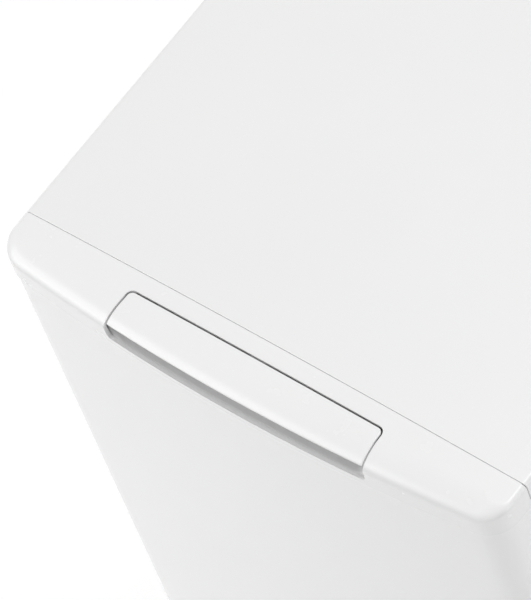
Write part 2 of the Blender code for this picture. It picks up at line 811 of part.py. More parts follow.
# ---- drawer -----------------------------------------------------------------------
def make_drawer_front():
    """Bowed outer panel and the flat liner that closes it from behind."""
    path = [point - normal * PANEL_INSET for point, normal, _ in front_path()]
    low_row = [(point.x, point.y, DRAWER_LOW) for point in path]
    high_row = [(point.x, point.y, TRIM_LOW - SEAM) for point in path]
    bottom = [(0, column) for column in range(len(path))]
    panel = add("drawer_front_panel", skin([low_row, high_row], [bottom]), WHITE_PAINT)
    thicken(panel, SHEET)
    half = INSIDE - PANEL_INSET
    liner = tray(
        "drawer_front_liner",
        (-half, DRAWER_BACK - FOLD, DRAWER_LOW + SHEET + GAP),
        (half, DRAWER_BACK, TRIM_LOW - GAP),
        ("-Y",),
        SHEET,
        WHITE_PAINT,
    )
    slot_low = (-0.004, DRAWER_BACK - THROUGH, HOOK_Z - 0.011)
    slot_high = (0.004, DRAWER_BACK + THROUGH, HOOK_Z + 0.012)
    cut(liner, block("hook_slot", slot_low, slot_high, ZINC))
    joined = DRAWER_BACK - SHEET / 2
    cheek_low = (HOOK_HALF + FIT, HOOK_Y - 0.005, HOOK_Z - 0.006)
    cheek_high = (0.0045, joined, HOOK_Z + 0.006)
    weld(liner, block("hook_cheek", cheek_low, cheek_high, ZINC))
    pin_place = (HOOK_Y, HOOK_Z)
    weld(liner, cylinder("hook_pin", HOOK_PIN, -0.003, 0.004, pin_place, ZINC, "X", 12))
    guide_low = (-0.005, ROD_Y - 0.0045, 0.829)
    guide_high = (0.005, joined, 0.833)
    weld(liner, block("rod_guide", guide_low, guide_high, ZINC))
    rod_hole = ROD_RADIUS + FIT
    cut(liner, cylinder("rod_hole", rod_hole, 0.82, 0.845, (0.0, ROD_Y), ZINC, sides=16))


def trim_rows(path):
    """Rows of points over the trim: up its skirt, over the round, back along the top."""
    rows = [[(point.x, point.y, TRIM_LOW) for point, _, _ in path]]
    for degrees in (0, 22.5, 45, 67.5, 90):
        angle = math.radians(degrees)
        row = []
        for point, normal, turned_by in path:
            ease = turned_by**2 * (3 - 2 * turned_by)
            depth = SIDE_ROUND + (ROLL_DEPTH - SIDE_ROUND) * ease
            drop = SIDE_ROUND + (ROLL_DROP - SIDE_ROUND) * ease
            place = point - normal * depth * (1 - math.cos(angle))
            height = top_height(place.x) - drop * (1 - math.sin(angle))
            row.append((place.x, place.y, height))
        rows.append(row)
    rows.append([(x, DRAWER_BACK, z) for x, _, z in rows[-1]])
    return rows


def make_trim():
    """Moulded cap over the drawer front, with the handle's window cut in it."""
    path = front_path()
    rows = trim_rows(path)
    last = len(path) - 1
    up = [(row, 0) for row in range(len(rows))]
    along = [(len(rows) - 1, column) for column in range(1, last + 1)]
    down = [(row, last) for row in range(len(rows) - 2, -1, -1)]
    trim = add("front_trim", skin(rows, [up + along + down]), WHITE_PLASTIC)
    thicken(trim, TRIM_WALL)
    for side in (-1, 1):
        low_x, high_x = sorted((side * (WINDOW_HALF + 0.0008), side * (WINDOW_HALF + 0.0045)))
        boss_low = (low_x, PIN_Y - 0.003, PIN_Z - 0.0025)
        boss_high = (high_x, PIN_Y + 0.003, PIN_Z + 0.0020)
        weld(trim, block("pin_boss", boss_low, boss_high, WHITE_PLASTIC))
    inside = WINDOW_HALF - WINDOW_CORNER
    deep = WINDOW_BACK - WINDOW_CORNER
    outline = [(-WINDOW_HALF, FRONT - 0.02), (WINDOW_HALF, FRONT - 0.02)]
    outline += arc((inside, deep), WINDOW_CORNER, 0, 90, 4)
    outline += arc((-inside, deep), WINDOW_CORNER, 90, 180, 4)
    cut(trim, prism("handle_window", outline, WINDOW_LOW, WORKTOP + 0.02, WHITE_PLASTIC))
    reach = WINDOW_HALF + PIN_REACH + 2 * GAP
    hole = PIN_RADIUS + GAP
    pin_place = (PIN_Y, PIN_Z)
    cut(trim, cylinder("pin_hole", hole, -reach, reach, pin_place, WHITE_PLASTIC, "X", 12))


def make_recess():
    """Scoop behind the handle's lip, open to the front and above."""
    half = WINDOW_HALF + RECESS_WALL
    low = (-half, front_face(WINDOW_HALF) + TRIM_WALL + 2 * GAP, RECESS_LOW)
    high = (half, PIN_Y - 0.0005, RECESS_FRONT_EDGE)
    pan = tray("finger_recess", low, high, ("-Y", "+Z"), RECESS_WALL, WHITE_PLASTIC)
    back_edge = PIN_Z - LUG_RADIUS - 0.0010
    for vertex in pan.data.vertices:
        if vertex.co.y > 0 and vertex.co.z > 0:
            vertex.co.z += back_edge - RECESS_FRONT_EDGE


def make_handle():
    """Lift flap with three hinge lugs and a tail, and the pin it turns on."""
    corner = WINDOW_CORNER - FLAP_GAP
    half = WINDOW_HALF - FLAP_GAP
    back = WINDOW_BACK - FLAP_GAP
    right_corner = arc((half - corner, back - corner), corner, 90, 0, 3)
    left_corner = [(-x, y) for x, y in reversed(right_corner)]
    straight = [(x * (half - corner) / 5, back) for x in range(-4, 5)]
    back_edge = left_corner + straight + right_corner
    lip = math.degrees(math.asin(1 - LIP_DROP / ROLL_DROP))
    rows = []
    for step in range(5):
        angle = math.radians(lip + (90 - lip) * step / 4)
        row = []
        for x, _ in back_edge:
            slope = math.asin(x / BOW_RADIUS)
            y = front_face(x) + ROLL_DEPTH * (1 - math.cos(angle)) / math.cos(slope)
            row.append((x, y, top_height(x) - ROLL_DROP * (1 - math.sin(angle))))
        rows.append(row)
    rows.append([(x, y, top_height(x)) for x, y in back_edge])
    flap = add("handle_flap", skin(rows), WHITE_PLASTIC)
    if flap.data.polygons[-1].normal.z < 0:
        flap.data.flip_normals()
    hang(flap, (0.0, PIN_Y, PIN_Z))
    thicken(flap, FLAP_WALL)
    tail_low = (-TAIL_HALF, PIN_Y, PIN_Z - TAIL_DROP)
    tail_high = (TAIL_HALF, ROD_Y + 0.0010, PIN_Z + GAP)
    weld(flap, block("tail", tail_low, tail_high, WHITE_PLASTIC))
    place = (PIN_Y, PIN_Z)
    for start in LUG_STARTS:
        end = start + LUG_LENGTH
        weld(flap, cylinder("lug", LUG_RADIUS, start, end, place, WHITE_PLASTIC, "X", 16))
    bore = PIN_RADIUS + GAP
    reach = WINDOW_HALF + PIN_REACH
    cut(flap, cylinder("flap_bore", bore, -reach, reach, place, WHITE_PLASTIC, "X", 12))
    cylinder("handle_pin", PIN_RADIUS, -reach, reach, place, STEEL, "X", 12)


def make_latch():
    """Push rod under the handle's tail and the hook that it turns."""
    arm_top = HOOK_Z + 0.0025
    claw_top = HOOK_Z + 0.0075
    rod_top = PIN_Z - TAIL_DROP - GAP
    cylinder("latch_rod", ROD_RADIUS, arm_top + GAP, rod_top, (0.0, ROD_Y), STEEL, sides=12)
    outline = arc((HOOK_Y, HOOK_Z), HOOK_EYE, 60, 270, 7)
    outline += [
        (HOOK_END, HOOK_Z - 0.0045),
        (HOOK_END, claw_top),
        (HOOK_END - 0.0030, claw_top),
        (HOOK_END - 0.0055, arm_top),
        (HOOK_Y + 0.0060, arm_top),
    ]
    hook = prism("latch_hook", outline, -HOOK_HALF, HOOK_HALF, STEEL, "X")
    hang(hook, (0.0, HOOK_Y, HOOK_Z))
    bore = HOOK_PIN + GAP
    place = (HOOK_Y, HOOK_Z)
    cut(hook, cylinder("hook_bore", bore, -THROUGH, THROUGH, place, STEEL, "X", 12))


def make_carriage():
    """Drawer floor on two runners, with lugs that hold the rear rollers."""
    front = DRAWER_BACK + GAP
    floor = block(
        "drawer_carriage",
        (-BIN_HALF, front, RUNNER_HIGH - 0.001),
        (BIN_HALF, BIN_BACK + 0.005, RUNNER_HIGH + 0.001),
        ZINC,
    )
    for side in (-1, 1):
        low_x, high_x = sorted((side * RUNNER_IN, side * RUNNER_OUT))
        runner = block(
            "runner", (low_x, front, RUNNER_LOW), (high_x, CARRIAGE_BACK, RUNNER_HIGH), ZINC
        )
        lug_low = (low_x, DRAWER_ROLLER_Y - LUG_DEPTH, RAIL_LOW + 0.004)
        lug = block("lug", lug_low, (high_x, CARRIAGE_BACK, RUNNER_LOW + 0.001), ZINC)
        axle_low, axle_high = sorted((side * (RUNNER_OUT - 0.002), side * (RAIL_OUT - 0.003)))
        place = (DRAWER_ROLLER_Y, REAR_AXLE_Z)
        axle = cylinder("rear_axle", AXLE, axle_low, axle_high, place, ZINC, "X", 16)
        weld(floor, runner, lug, axle)


def make_rollers():
    """Two rollers on the cabinet's rails and two on the drawer's rear end."""
    bore = AXLE + GAP
    for word, side in (("left", -1), ("right", 1)):
        centre = side * (RUNNER_IN + RUNNER_OUT) / 2
        place = (centre, CABINET_ROLLER_Y, FRONT_AXLE_Z)
        name = "cabinet_roller_" + word
        ring(name, ROLLER, bore, -0.005, 0.005, GREY_PLASTIC, place, ALONG_X)
        centre = side * (RAIL_OUT - RAIL_WALL - 0.0062)
        place = (centre, DRAWER_ROLLER_Y, REAR_AXLE_Z)
        name = "drawer_roller_" + word
        ring(name, ROLLER, bore, -0.0045, 0.0045, GREY_PLASTIC, place, ALONG_X)


def make_bin():
    """Open-topped trash container that stands on the carriage."""
    tray(
        "trash_container",
        (-BIN_HALF, BIN_FRONT, RUNNER_HIGH + 0.001 + GAP),
        (BIN_HALF, BIN_BACK, BIN_RIM),
        ("+Z",),
        BIN_WALL,
        GREY_PLASTIC,
    )


def make_drawer():
    make_drawer_front()
    make_trim()
    make_recess()
    make_handle()
    make_latch()
    make_carriage()
    make_rollers()
    make_bin()


# ---- controls -----------------------------------------------------------------------
def fascia_point(x, lift=0.0):
    """A place on the sloping fascia, lifted off it along its normal."""
    z = FASCIA_LOW[1] + (CONTROL_Y - FASCIA_LOW[0]) * math.tan(FASCIA_TILT)
    return (x, CONTROL_Y - lift * math.sin(FASCIA_TILT), z + lift * math.cos(FASCIA_TILT))


def make_console():
    """Raised strip at the rear of the top, with its knob, buttons and lens."""
    rise = FASCIA_RUN * math.tan(FASCIA_TILT)
    high = FASCIA_LOW[1] + rise
    outline = [
        (CONSOLE_FRONT, SKIRT_LOW),
        (CONSOLE_FRONT, FASCIA_LOW[1] - 0.003),
        FASCIA_LOW,
        (FASCIA_LOW[0] + FASCIA_RUN, high),
        (DEPTH / 2 - 0.004, high),
        (DEPTH / 2, high - 0.004),
        (DEPTH / 2, SKIRT_LOW),
    ]
    left_row = [(-WIDTH / 2, y, z) for y, z in outline]
    right_row = [(WIDTH / 2, y, z) for y, z in outline]
    ends = [[(row, column) for column in range(len(outline))] for row in (0, 1)]
    console = add("control_console", skin([left_row, right_row], ends), WHITE_PLASTIC)
    thicken(console, CONSOLE_WALL)
    tilt = (FASCIA_TILT, 0.0, 0.0)

    knob = [(0.0, 0.0165), (0.0155, 0.0165), (0.0170, 0.0150), (0.0185, GAP), (0.0, GAP)]
    turned("control_knob", knob, WHITE_PLASTIC, fascia_point(KNOB_X), tilt, steps=28)

    across, along, deep = BUTTON_HALF
    hole_half = Vector((across + BUTTON_GAP, along + BUTTON_GAP, THROUGH))
    for name, x in (("start_button", START_X), ("stop_button", STOP_X)):
        opening = cube_mesh(-hole_half, hole_half)
        cut(console, add("button_hole", opening, WHITE_PLASTIC, fascia_point(x), tilt))
        shape = cube_mesh((-across, -along, -deep), (across, along, deep))
        button = add(name, shape, GREY_PLASTIC, fascia_point(x, -BUTTON_SINK), tilt)
        bevel = button.modifiers.new("edges", "BEVEL")
        bevel.width = 0.001
        bevel.segments = 1

    place = (0.0, 0.0)
    well = cylinder("lens_hole", LENS_WELL, -THROUGH, THROUGH, place, WHITE_PLASTIC, sides=16)
    well.location = fascia_point(LENS_X)
    well.rotation_euler = tilt
    cut(console, well)
    dome = [(0.0, 0.0020), (0.0030, 0.0012), (0.0039, 0.0), (0.0039, -0.004), (0.0, -0.004)]
    turned("indicator_lens", dome, LENS, fascia_point(LENS_X), tilt, steps=16)


make_cabinet()
make_drive()
make_ram()
make_drawer()
make_console()
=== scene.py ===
"""A slim white trash compactor: its finishes and fine surfaces, laid over its solids."""
import math

import bmesh
import bpy
from mathutils import Matrix, Vector
from mathutils.geometry import delaunay_2d_cdt


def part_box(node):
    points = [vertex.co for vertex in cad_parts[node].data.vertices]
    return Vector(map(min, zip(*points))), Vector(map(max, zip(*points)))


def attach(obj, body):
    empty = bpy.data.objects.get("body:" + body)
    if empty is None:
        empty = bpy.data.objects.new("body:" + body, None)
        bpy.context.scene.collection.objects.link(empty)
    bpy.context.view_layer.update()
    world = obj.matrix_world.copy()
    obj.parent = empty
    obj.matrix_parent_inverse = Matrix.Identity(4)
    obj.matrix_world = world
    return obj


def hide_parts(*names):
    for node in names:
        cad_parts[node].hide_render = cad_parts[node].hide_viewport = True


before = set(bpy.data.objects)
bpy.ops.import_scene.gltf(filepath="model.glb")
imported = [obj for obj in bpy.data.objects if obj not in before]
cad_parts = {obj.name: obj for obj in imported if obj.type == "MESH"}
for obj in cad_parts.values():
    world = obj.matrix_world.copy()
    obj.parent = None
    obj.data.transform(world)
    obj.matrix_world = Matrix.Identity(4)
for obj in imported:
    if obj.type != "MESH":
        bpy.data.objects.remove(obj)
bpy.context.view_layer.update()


# ---- Studio ----
# A white sweep under a dim even sky, lit by large round diffusers that stand far off,
# as a machine is shot for a catalogue. The camera leans over the right front corner.
scene = bpy.context.scene
scene.view_settings.view_transform = "Standard"
aim = Vector((-0.0235, -0.2397, 0.8603))
camera_azimuth = math.radians(56.65)
camera_height = math.radians(54.75)
camera_roll = math.radians(22.47)
camera_distance = 4.155
back = Vector(
    (
        math.sin(camera_azimuth) * math.cos(camera_height),
        -math.cos(camera_azimuth) * math.cos(camera_height),
        math.sin(camera_height),
    )
)
level = Vector((math.cos(camera_azimuth), math.sin(camera_azimuth), 0.0))
upright = back.cross(level)
across = level * math.cos(camera_roll) - upright * math.sin(camera_roll)
lens = bpy.data.cameras.new("camera")
lens.sensor_width = 36.0
lens.lens = 424.2
lens.shift_x = 0.005
lens.clip_end = 20.0
camera = bpy.data.objects.new("camera", lens)
camera.matrix_world = Matrix.Translation(aim + back * camera_distance) @ Matrix(
    (across, back.cross(across), back)
).transposed().to_4x4()
scene.collection.objects.link(camera)
scene.camera = camera

sky = bpy.data.worlds.new("sky")
sky.use_nodes = True
heaven = sky.node_tree.nodes["Background"]
heaven.inputs["Color"].default_value = (1.0, 1.0, 1.0, 1.0)
heaven.inputs["Strength"].default_value = 0.30
scene.world = sky


LAMP_SIZE = 3.5
LAMP_DISTANCE = 5.5
LAMP_AIM = Vector((0.0, -0.2, 0.8))


def soft_lamp(name, bearing, height, power):
    """A diffuser at a bearing and a height, in degrees from the machine's front."""
    around, above = math.radians(bearing), math.radians(height)
    towards = Vector(
        (
            math.sin(around) * math.cos(above),
            -math.cos(around) * math.cos(above),
            math.sin(above),
        )
    )
    lamp = bpy.data.lights.new(name, "AREA")
    lamp.shape = "DISK"
    lamp.size = LAMP_SIZE
    lamp.energy = power
    item = bpy.data.objects.new(name, lamp)
    item.location = LAMP_AIM + towards * LAMP_DISTANCE
    item.rotation_euler = towards.to_track_quat("Z", "Y").to_euler()
    scene.collection.objects.link(item)


soft_lamp("rear_lamp", 180, 62, 144.0)
soft_lamp("left_front_lamp", -45, 38, 100.0)
soft_lamp("low_left_lamp", -45, 15, 58.0)
soft_lamp("right_lamp", 90, 62, 36.0)
soft_lamp("low_right_lamp", 90, 15, 74.0)

ground = bmesh.new()
bmesh.ops.create_grid(ground, x_segments=8, y_segments=8, size=6.0)
ground_mesh = bpy.data.meshes.new("floor")
ground.to_mesh(ground_mesh)
ground.free()
floor = bpy.data.objects.new("floor", ground_mesh)
scene.collection.objects.link(floor)
pale = bpy.data.materials.new("pale_floor")
pale.use_nodes = True
pale_shader = pale.node_tree.nodes["Principled BSDF"]
pale_shader.inputs["Base Color"].default_value = (0.9, 0.9, 0.9, 1.0)
pale_shader.inputs["Roughness"].default_value = 0.9
pale_shader.inputs["Emission Color"].default_value = (1.0, 1.0, 1.0, 1.0)
pale_shader.inputs["Emission Strength"].default_value = 0.14
ground_mesh.materials.append(pale)


# ---- Worktop ----
# One sheet of steel, crowned a few millimetres so that water runs off, with its
# edges turned down all round. It is sprayed and baked with a white enamel.
WIDTH = 0.381
FRONT = -0.305
WORKTOP = 0.864
CROWN = 0.0037
SEAM = 0.0006
SHEET = 0.0012
SIDE_ROUND = 0.0035
DRAWER_BACK = -0.2626


class Wire:
    """A node's output; sums and products written on it add Math nodes."""

    def __init__(self, finish, socket):
        self.finish = finish
        self.socket = socket

    def maths(self, operation, first, second):
        return self.finish.node("ShaderNodeMath", {"operation": operation}, {0: first, 1: second})

    def __add__(self, other):
        return self.maths("ADD", self, other)

    __radd__ = __add__

    def __mul__(self, other):
        return self.maths("MULTIPLY", self, other)

    __rmul__ = __mul__


class Finish:
    """One finish of the machine: a material whose nodes are added by name."""

    def __init__(self, name, slot, colour, roughness, metallic=0.0, **fixed):
        self.slot = slot
        self.material = bpy.data.materials.new(name)
        self.material.use_nodes = True
        self.tree = self.material.node_tree
        self.shader = self.tree.nodes["Principled BSDF"]
        fixed.update({"Base Color": (*colour, 1.0), "Roughness": roughness, "Metallic": metallic})
        for socket, value in fixed.items():
            self.shader.inputs[socket.replace("_", " ")].default_value = value
        self.place = self.node("ShaderNodeTexCoord", {}, {}, "Object")

    def node(self, kind, settings, sockets, output=0):
        item = self.tree.nodes.new(kind)
        for key, value in settings.items():
            setattr(item, key, value)
        for key, value in sockets.items():
            if isinstance(value, Wire):
                self.tree.links.new(value.socket, item.inputs[key])
            else:
                item.inputs[key].default_value = value
        return Wire(self, item.outputs[output])

    def noise(self, scale, detail=2.0, stretch=None, **more):
        where = self.place
        if stretch:
            where = self.node(
                "ShaderNodeMapping", {}, {"Vector": self.place, "Scale": stretch}
            )
        sockets = {"Vector": where, "Scale": scale, "Detail": detail, **more}
        return self.node("ShaderNodeTexNoise", {}, sockets, "Fac")

    def cells(self, scale, output="Distance", **settings):
        sockets = {"Vector": self.place, "Scale": scale}
        return self.node("ShaderNodeTexVoronoi", settings, sockets, output)

    def shade(self, factor, first, second):
        """Mix two colours."""
        sockets = {0: factor, 6: (*first, 1.0), 7: (*second, 1.0)}
        return self.node("ShaderNodeMix", {"data_type": "RGBA"}, sockets, 2)

    def feed(self, socket, wire):
        self.tree.links.new(wire.socket, self.shader.inputs[socket])

    def relief(self, height, depth, strength=1.0):
        """Bump whose full height is depth metres."""
        sockets = {"Height": height, "Distance": depth, "Strength": strength}
        self.feed("Normal", self.node("ShaderNodeBump", {}, sockets, "Normal"))


enamel = Finish("white_enamel", "white_paint", (0.81, 0.81, 0.81), 0.30, Coat_Weight=0.25)
film = enamel.noise(6.0, 3.0)
enamel.feed("Base Color", enamel.shade(film, (0.80, 0.80, 0.80), (0.82, 0.82, 0.82)))
enamel.feed("Roughness", 0.27 + 0.08 * enamel.noise(35.0, 4.0))
enamel.relief(enamel.noise(650.0, 2.0), 0.00004, 0.35)


def top_height(x):
    return WORKTOP - CROWN * (2 * x / WIDTH) ** 2


def curved_net(rows, closing=()):
    """A sheet through rows of points, closed at its ends by the given outlines."""
    sheet = bmesh.new()
    net = [[sheet.verts.new(point) for point in row] for row in rows]
    for lower, upper in zip(net, net[1:]):
        for k in range(len(lower) - 1):
            sheet.faces.new((lower[k], lower[k + 1], upper[k + 1], upper[k]))
    for index in closing:
        sheet.faces.new(net[index])
    bmesh.ops.remove_doubles(sheet, verts=sheet.verts, dist=0.000002)
    bmesh.ops.recalc_face_normals(sheet, faces=sheet.faces)
    return sheet


def fit(name, shape, finish, body, *stands_for, wall=0.0, even=True, edge=0.0, sharp=45):
    """Make a piece from its shape, give it its wall and eased edges, and fix it to a body."""
    mesh = bpy.data.meshes.new(name)
    shape.to_mesh(mesh)
    shape.free()
    mesh.materials.append(finish.material)
    mesh.shade_smooth()
    item = bpy.data.objects.new(name, mesh)
    scene.collection.objects.link(item)
    if wall:
        step = item.modifiers.new("wall", "SOLIDIFY")
        step.thickness = wall
        step.offset = -1.0
        step.use_even_offset = even
    if edge:
        step = item.modifiers.new("edges", "BEVEL")
        step.width = edge
        step.segments = 3
        step.limit_method = "ANGLE"
        step.angle_limit = math.radians(sharp)
        step.use_clamp_overlap = True
        step = item.modifiers.new("shine", "WEIGHTED_NORMAL")
        step.keep_sharp = True
    else:
        mesh.set_sharp_from_angle(angle=math.radians(sharp))
    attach(item, body)
    if stands_for:
        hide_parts(*stands_for)
    return item


top_low = 0.8410
top_ends = (-0.262, 0.2149)
section = [(-WIDTH / 2, top_low), (-WIDTH / 2, 0.850)]
for step in range(9):
    angle = math.pi - math.pi / 2 * step / 8
    x = -WIDTH / 2 + SIDE_ROUND * (1 + math.cos(angle))
    section.append((x, top_height(x) - SIDE_ROUND * (1 - math.sin(angle))))
flat_half = WIDTH / 2 - SIDE_ROUND
section += [(x, top_height(x)) for x in (flat_half * k / 20 for k in range(-19, 20))]
section += [(-x, z) for x, z in reversed(section[:11])]
top_rows = []
for step in range(33):
    y = top_ends[0] + (top_ends[1] - top_ends[0]) * step / 32
    top_rows.append([(x, y, z) for x, z in section])
worktop = curved_net(top_rows, closing=(0, -1))
fit("worktop", worktop, enamel, "cabinet", "top_panel", wall=SHEET, edge=0.0005)


# ---- Drawer's top trim ----
# A cap moulded in white plastic that clips over the drawer's front edge. It rolls
# over from the top into the bowed front, and a window is left in it for the handle.
BOW = 0.0123
CORNER = 0.020
ROLL_DEPTH = 0.0195
ROLL_DROP = 0.0080
TRIM_LOW = 0.8400
TRIM_WALL = 0.0025
WINDOW_HALF = 0.0986
WINDOW_BACK = -0.2743
WINDOW_LOW = 0.8451
WINDOW_CORNER = 0.005
BOW_RADIUS = ((WIDTH / 2) ** 2 + BOW**2) / (2 * BOW)
BOW_CENTRE = FRONT + BOW_RADIUS
corner_x = WIDTH / 2 - CORNER
corner_y = BOW_CENTRE - math.sqrt((BOW_RADIUS - CORNER) ** 2 - corner_x**2)
bow_half_angle = math.atan2(corner_x, BOW_CENTRE - corner_y)
bow_run = BOW_RADIUS * bow_half_angle
corner_run = CORNER * (math.pi / 2 - bow_half_angle)
side_run = DRAWER_BACK - corner_y

moulding = Finish("white_moulding", "white_plastic", (0.82, 0.82, 0.82), 0.26)
cloud = moulding.noise(9.0, 3.0)
moulding.feed("Base Color", moulding.shade(cloud, (0.81, 0.81, 0.81), (0.83, 0.83, 0.83)))
moulding.feed("Roughness", 0.22 + 0.08 * moulding.noise(60.0, 3.0))
moulding.relief(moulding.noise(1500.0, 1.0), 0.00002, 0.3)


def round_the_front(run, inset=0.0):
    """Place, outward direction and turn (0 side, 1 front) at a run from the middle."""
    side = -1 if run < 0 else 1
    run = abs(run)
    if run <= bow_run:
        angle = run / BOW_RADIUS
        outward = Vector((math.sin(angle), -math.cos(angle)))
        place = Vector((0.0, BOW_CENTRE)) + (BOW_RADIUS - inset) * outward
        turn = 1.0
    elif run <= bow_run + corner_run:
        angle = bow_half_angle + (run - bow_run) / CORNER
        outward = Vector((math.sin(angle), -math.cos(angle)))
        place = Vector((corner_x, corner_y)) + (CORNER - inset) * outward
        turn = 1 - (run - bow_run) / corner_run
    else:
        outward = Vector((1.0, 0.0))
        place = Vector((WIDTH / 2 - inset, corner_y + run - bow_run - corner_run))
        turn = 0.0
    return Vector((side * place.x, place.y)), Vector((side * outward.x, outward.y)), turn


SKIRT = 0.0160
ROLL = 0.0230
LAND = 0.0230
LAND_END = DRAWER_BACK + 0.00025


def over_the_trim(run, up):
    """A point of the trim's face: up its skirt, over its roll and back along its land."""
    place, outward, turn = round_the_front(run)
    ease = turn**2 * (3 - 2 * turn)
    depth = SIDE_ROUND + (ROLL_DEPTH - SIDE_ROUND) * ease
    drop = SIDE_ROUND + (ROLL_DROP - SIDE_ROUND) * ease
    angle = math.pi / 2 * min(max((up - SKIRT) / ROLL, 0.0), 1.0)
    turned_in = place - outward * depth * (1 - math.cos(angle))
    height = top_height(turned_in.x) - drop * (1 - math.sin(angle))
    if up < SKIRT:
        height = TRIM_LOW + (height - TRIM_LOW) * up / SKIRT
    if up > SKIRT + ROLL:
        share = (up - SKIRT - ROLL) / LAND
        turned_in.y += (LAND_END - turned_in.y) * share
    return (turned_in.x, turned_in.y, height)


def run_at(x):
    return BOW_RADIUS * math.asin(x / BOW_RADIUS)


def up_at_height(x, z):
    return SKIRT * (z - TRIM_LOW) / (top_height(x) - ROLL_DROP - TRIM_LOW)


def up_at_depth(x, y):
    slope = math.asin(x / BOW_RADIUS)
    rolled_in = BOW_CENTRE - (BOW_RADIUS - ROLL_DEPTH) * math.cos(slope)
    return SKIRT + ROLL + LAND * (y - rolled_in) / (LAND_END - rolled_in)


def inside(outline, point):
    """Whether a point lies inside a closed outline."""
    hit = False
    for (x1, y1), (x2, y2) in zip(outline, outline[1:] + outline[:1]):
        if (y1 > point[1]) != (y2 > point[1]):
            if point[0] < x1 + (x2 - x1) * (point[1] - y1) / (y2 - y1):
                hit = not hit
    return hit


def near(outline, point, distance):
    return any(math.hypot(x - point[0], y - point[1]) < distance for x, y in outline)


def pattern(border, holes, columns, rows, place):
    """A flat pattern with holes, filled with a grid and laid onto a curved face."""
    points = [Vector(point) for point in border]
    loops = [list(range(len(border)))]
    for hole in holes:
        loops.append([len(points) + k for k in range(len(hole))])
        points += [Vector(point) for point in hole]
    outlines = [border, *holes]
    for x in columns:
        for y in rows:
            point = (x, y)
            if not inside(border, point) or any(inside(hole, point) for hole in holes):
                continue
            if not any(near(outline, point, 0.0007) for outline in outlines):
                points.append(Vector(point))
    scaled = [point * 1000 for point in points]
    edges = [(a, b) for loop in loops for a, b in zip(loop, loop[1:] + loop[:1])]
    flat, _, faces, *_ = delaunay_2d_cdt(scaled, edges, [], 0, 0.0001)
    sheet = bmesh.new()
    corners = [sheet.verts.new(place(point.x / 1000, point.y / 1000)) for point in flat]
    for first, second, third in faces:
        centre = (flat[first] + flat[second] + flat[third]) / 3000
        if abs((flat[second] - flat[first]).cross(flat[third] - flat[first])) < 0.001:
            continue
        if inside(border, centre) and not any(inside(hole, centre) for hole in holes):
            sheet.faces.new((corners[first], corners[second], corners[third]))
    bmesh.ops.delete(sheet, geom=[v for v in sheet.verts if not v.link_faces], context="VERTS")
    bmesh.ops.recalc_face_normals(sheet, faces=sheet.faces)
    return sheet


def evenly(low, high, count):
    return [low + (high - low) * k / count for k in range(count + 1)]


def arc(centre, radius, start, end, steps):
    """Points along an arc, angles in degrees."""
    angles = [math.radians(a) for a in evenly(start, end, steps)]
    return [(centre[0] + radius * math.cos(a), centre[1] + radius * math.sin(a)) for a in angles]


half_run = bow_run + corner_run + side_run
full_up = SKIRT + ROLL + LAND
columns = evenly(-half_run, half_run, 168)
rows = evenly(0.0, SKIRT, 5) + evenly(SKIRT, SKIRT + ROLL, 14)[1:]
rows += evenly(SKIRT + ROLL, full_up, 7)[1:]
border = [(run, 0.0) for run in columns]
border += [(half_run, up) for up in rows[1:]]
border += [(run, full_up) for run in reversed(columns[:-1])]
border += [(-half_run, up) for up in reversed(rows[1:-1])]

lower_corner = 0.0042
window = []
lower = arc((WINDOW_HALF - lower_corner, WINDOW_LOW + lower_corner), lower_corner, -90, 0, 6)
upper = arc((WINDOW_HALF - WINDOW_CORNER, WINDOW_BACK - WINDOW_CORNER), WINDOW_CORNER, 0, 90, 7)
window += [(run_at(x), up_at_height(x, z)) for x, z in lower]
edge_low, edge_high = window[-1][1], up_at_depth(*upper[0])
window += [(run_at(WINDOW_HALF), up) for up in evenly(edge_low, edge_high, 16)[1:-1]]
window += [(run_at(x), up_at_depth(x, y)) for x, y in upper]
window += [
    (run_at(x), up_at_depth(x, WINDOW_BACK))
    for x in evenly(WINDOW_HALF - WINDOW_CORNER, 0.0, 40)[1:]
]
mirrored = [(-run, up) for run, up in reversed(window)]
window += mirrored[1:]
window += [
    (run_at(x), up_at_height(x, WINDOW_LOW))
    for x in evenly(lower_corner - WINDOW_HALF, WINDOW_HALF - lower_corner, 80)[1:-1]
]
trim = pattern(border, [window], columns, rows, over_the_trim)
fit("front_cap", trim, moulding, "drawer", "front_trim", wall=TRIM_WALL, edge=0.0006, even=False)


# ---- Finger recess ----
# A shallow scoop welded behind the window, left unpolished, its white plastic coloured greyer
# than the trim as painted shade in the recess. Fingers slide in over its floor and reach up behind
# the handle's lip.
# Painted shade: the grey base colour stands for the shade inside the recess, not for a greyer
# plastic.
unpolished_painted_shade = Finish("unpolished_moulding_painted_shade", "white_plastic", (0.69, 0.69, 0.69), 0.50)
haze = unpolished_painted_shade.noise(14.0, 3.0)
unpolished_painted_shade.feed("Base Color", unpolished_painted_shade.shade(haze, (0.68, 0.68, 0.68), (0.70, 0.70, 0.70)))
unpolished_painted_shade.feed("Roughness", 0.46 + 0.08 * unpolished_painted_shade.noise(80.0, 3.0))
unpolished_painted_shade.relief(unpolished_painted_shade.noise(1200.0, 2.0), 0.00003, 0.4)
PIN_Y = -0.2815
PIN_Z = 0.85985


def under_the_roll(x, y):
    """Height that just clears the underside of the trim."""
    behind = y + math.sqrt(BOW_RADIUS**2 - x**2) - BOW_CENTRE
    cosine = min(max(1 - behind / ROLL_DEPTH, 0.0), 1.0)
    return top_height(x) - ROLL_DROP * (1 - math.sqrt(1 - cosine**2)) - TRIM_WALL - 0.0005


def turn_out(sheet, direction):
    """Turn every face of a sheet to one side."""
    for face in sheet.faces:
        face.normal_update()
        if face.normal.dot(Vector(direction)) < 0:
            face.normal_flip()


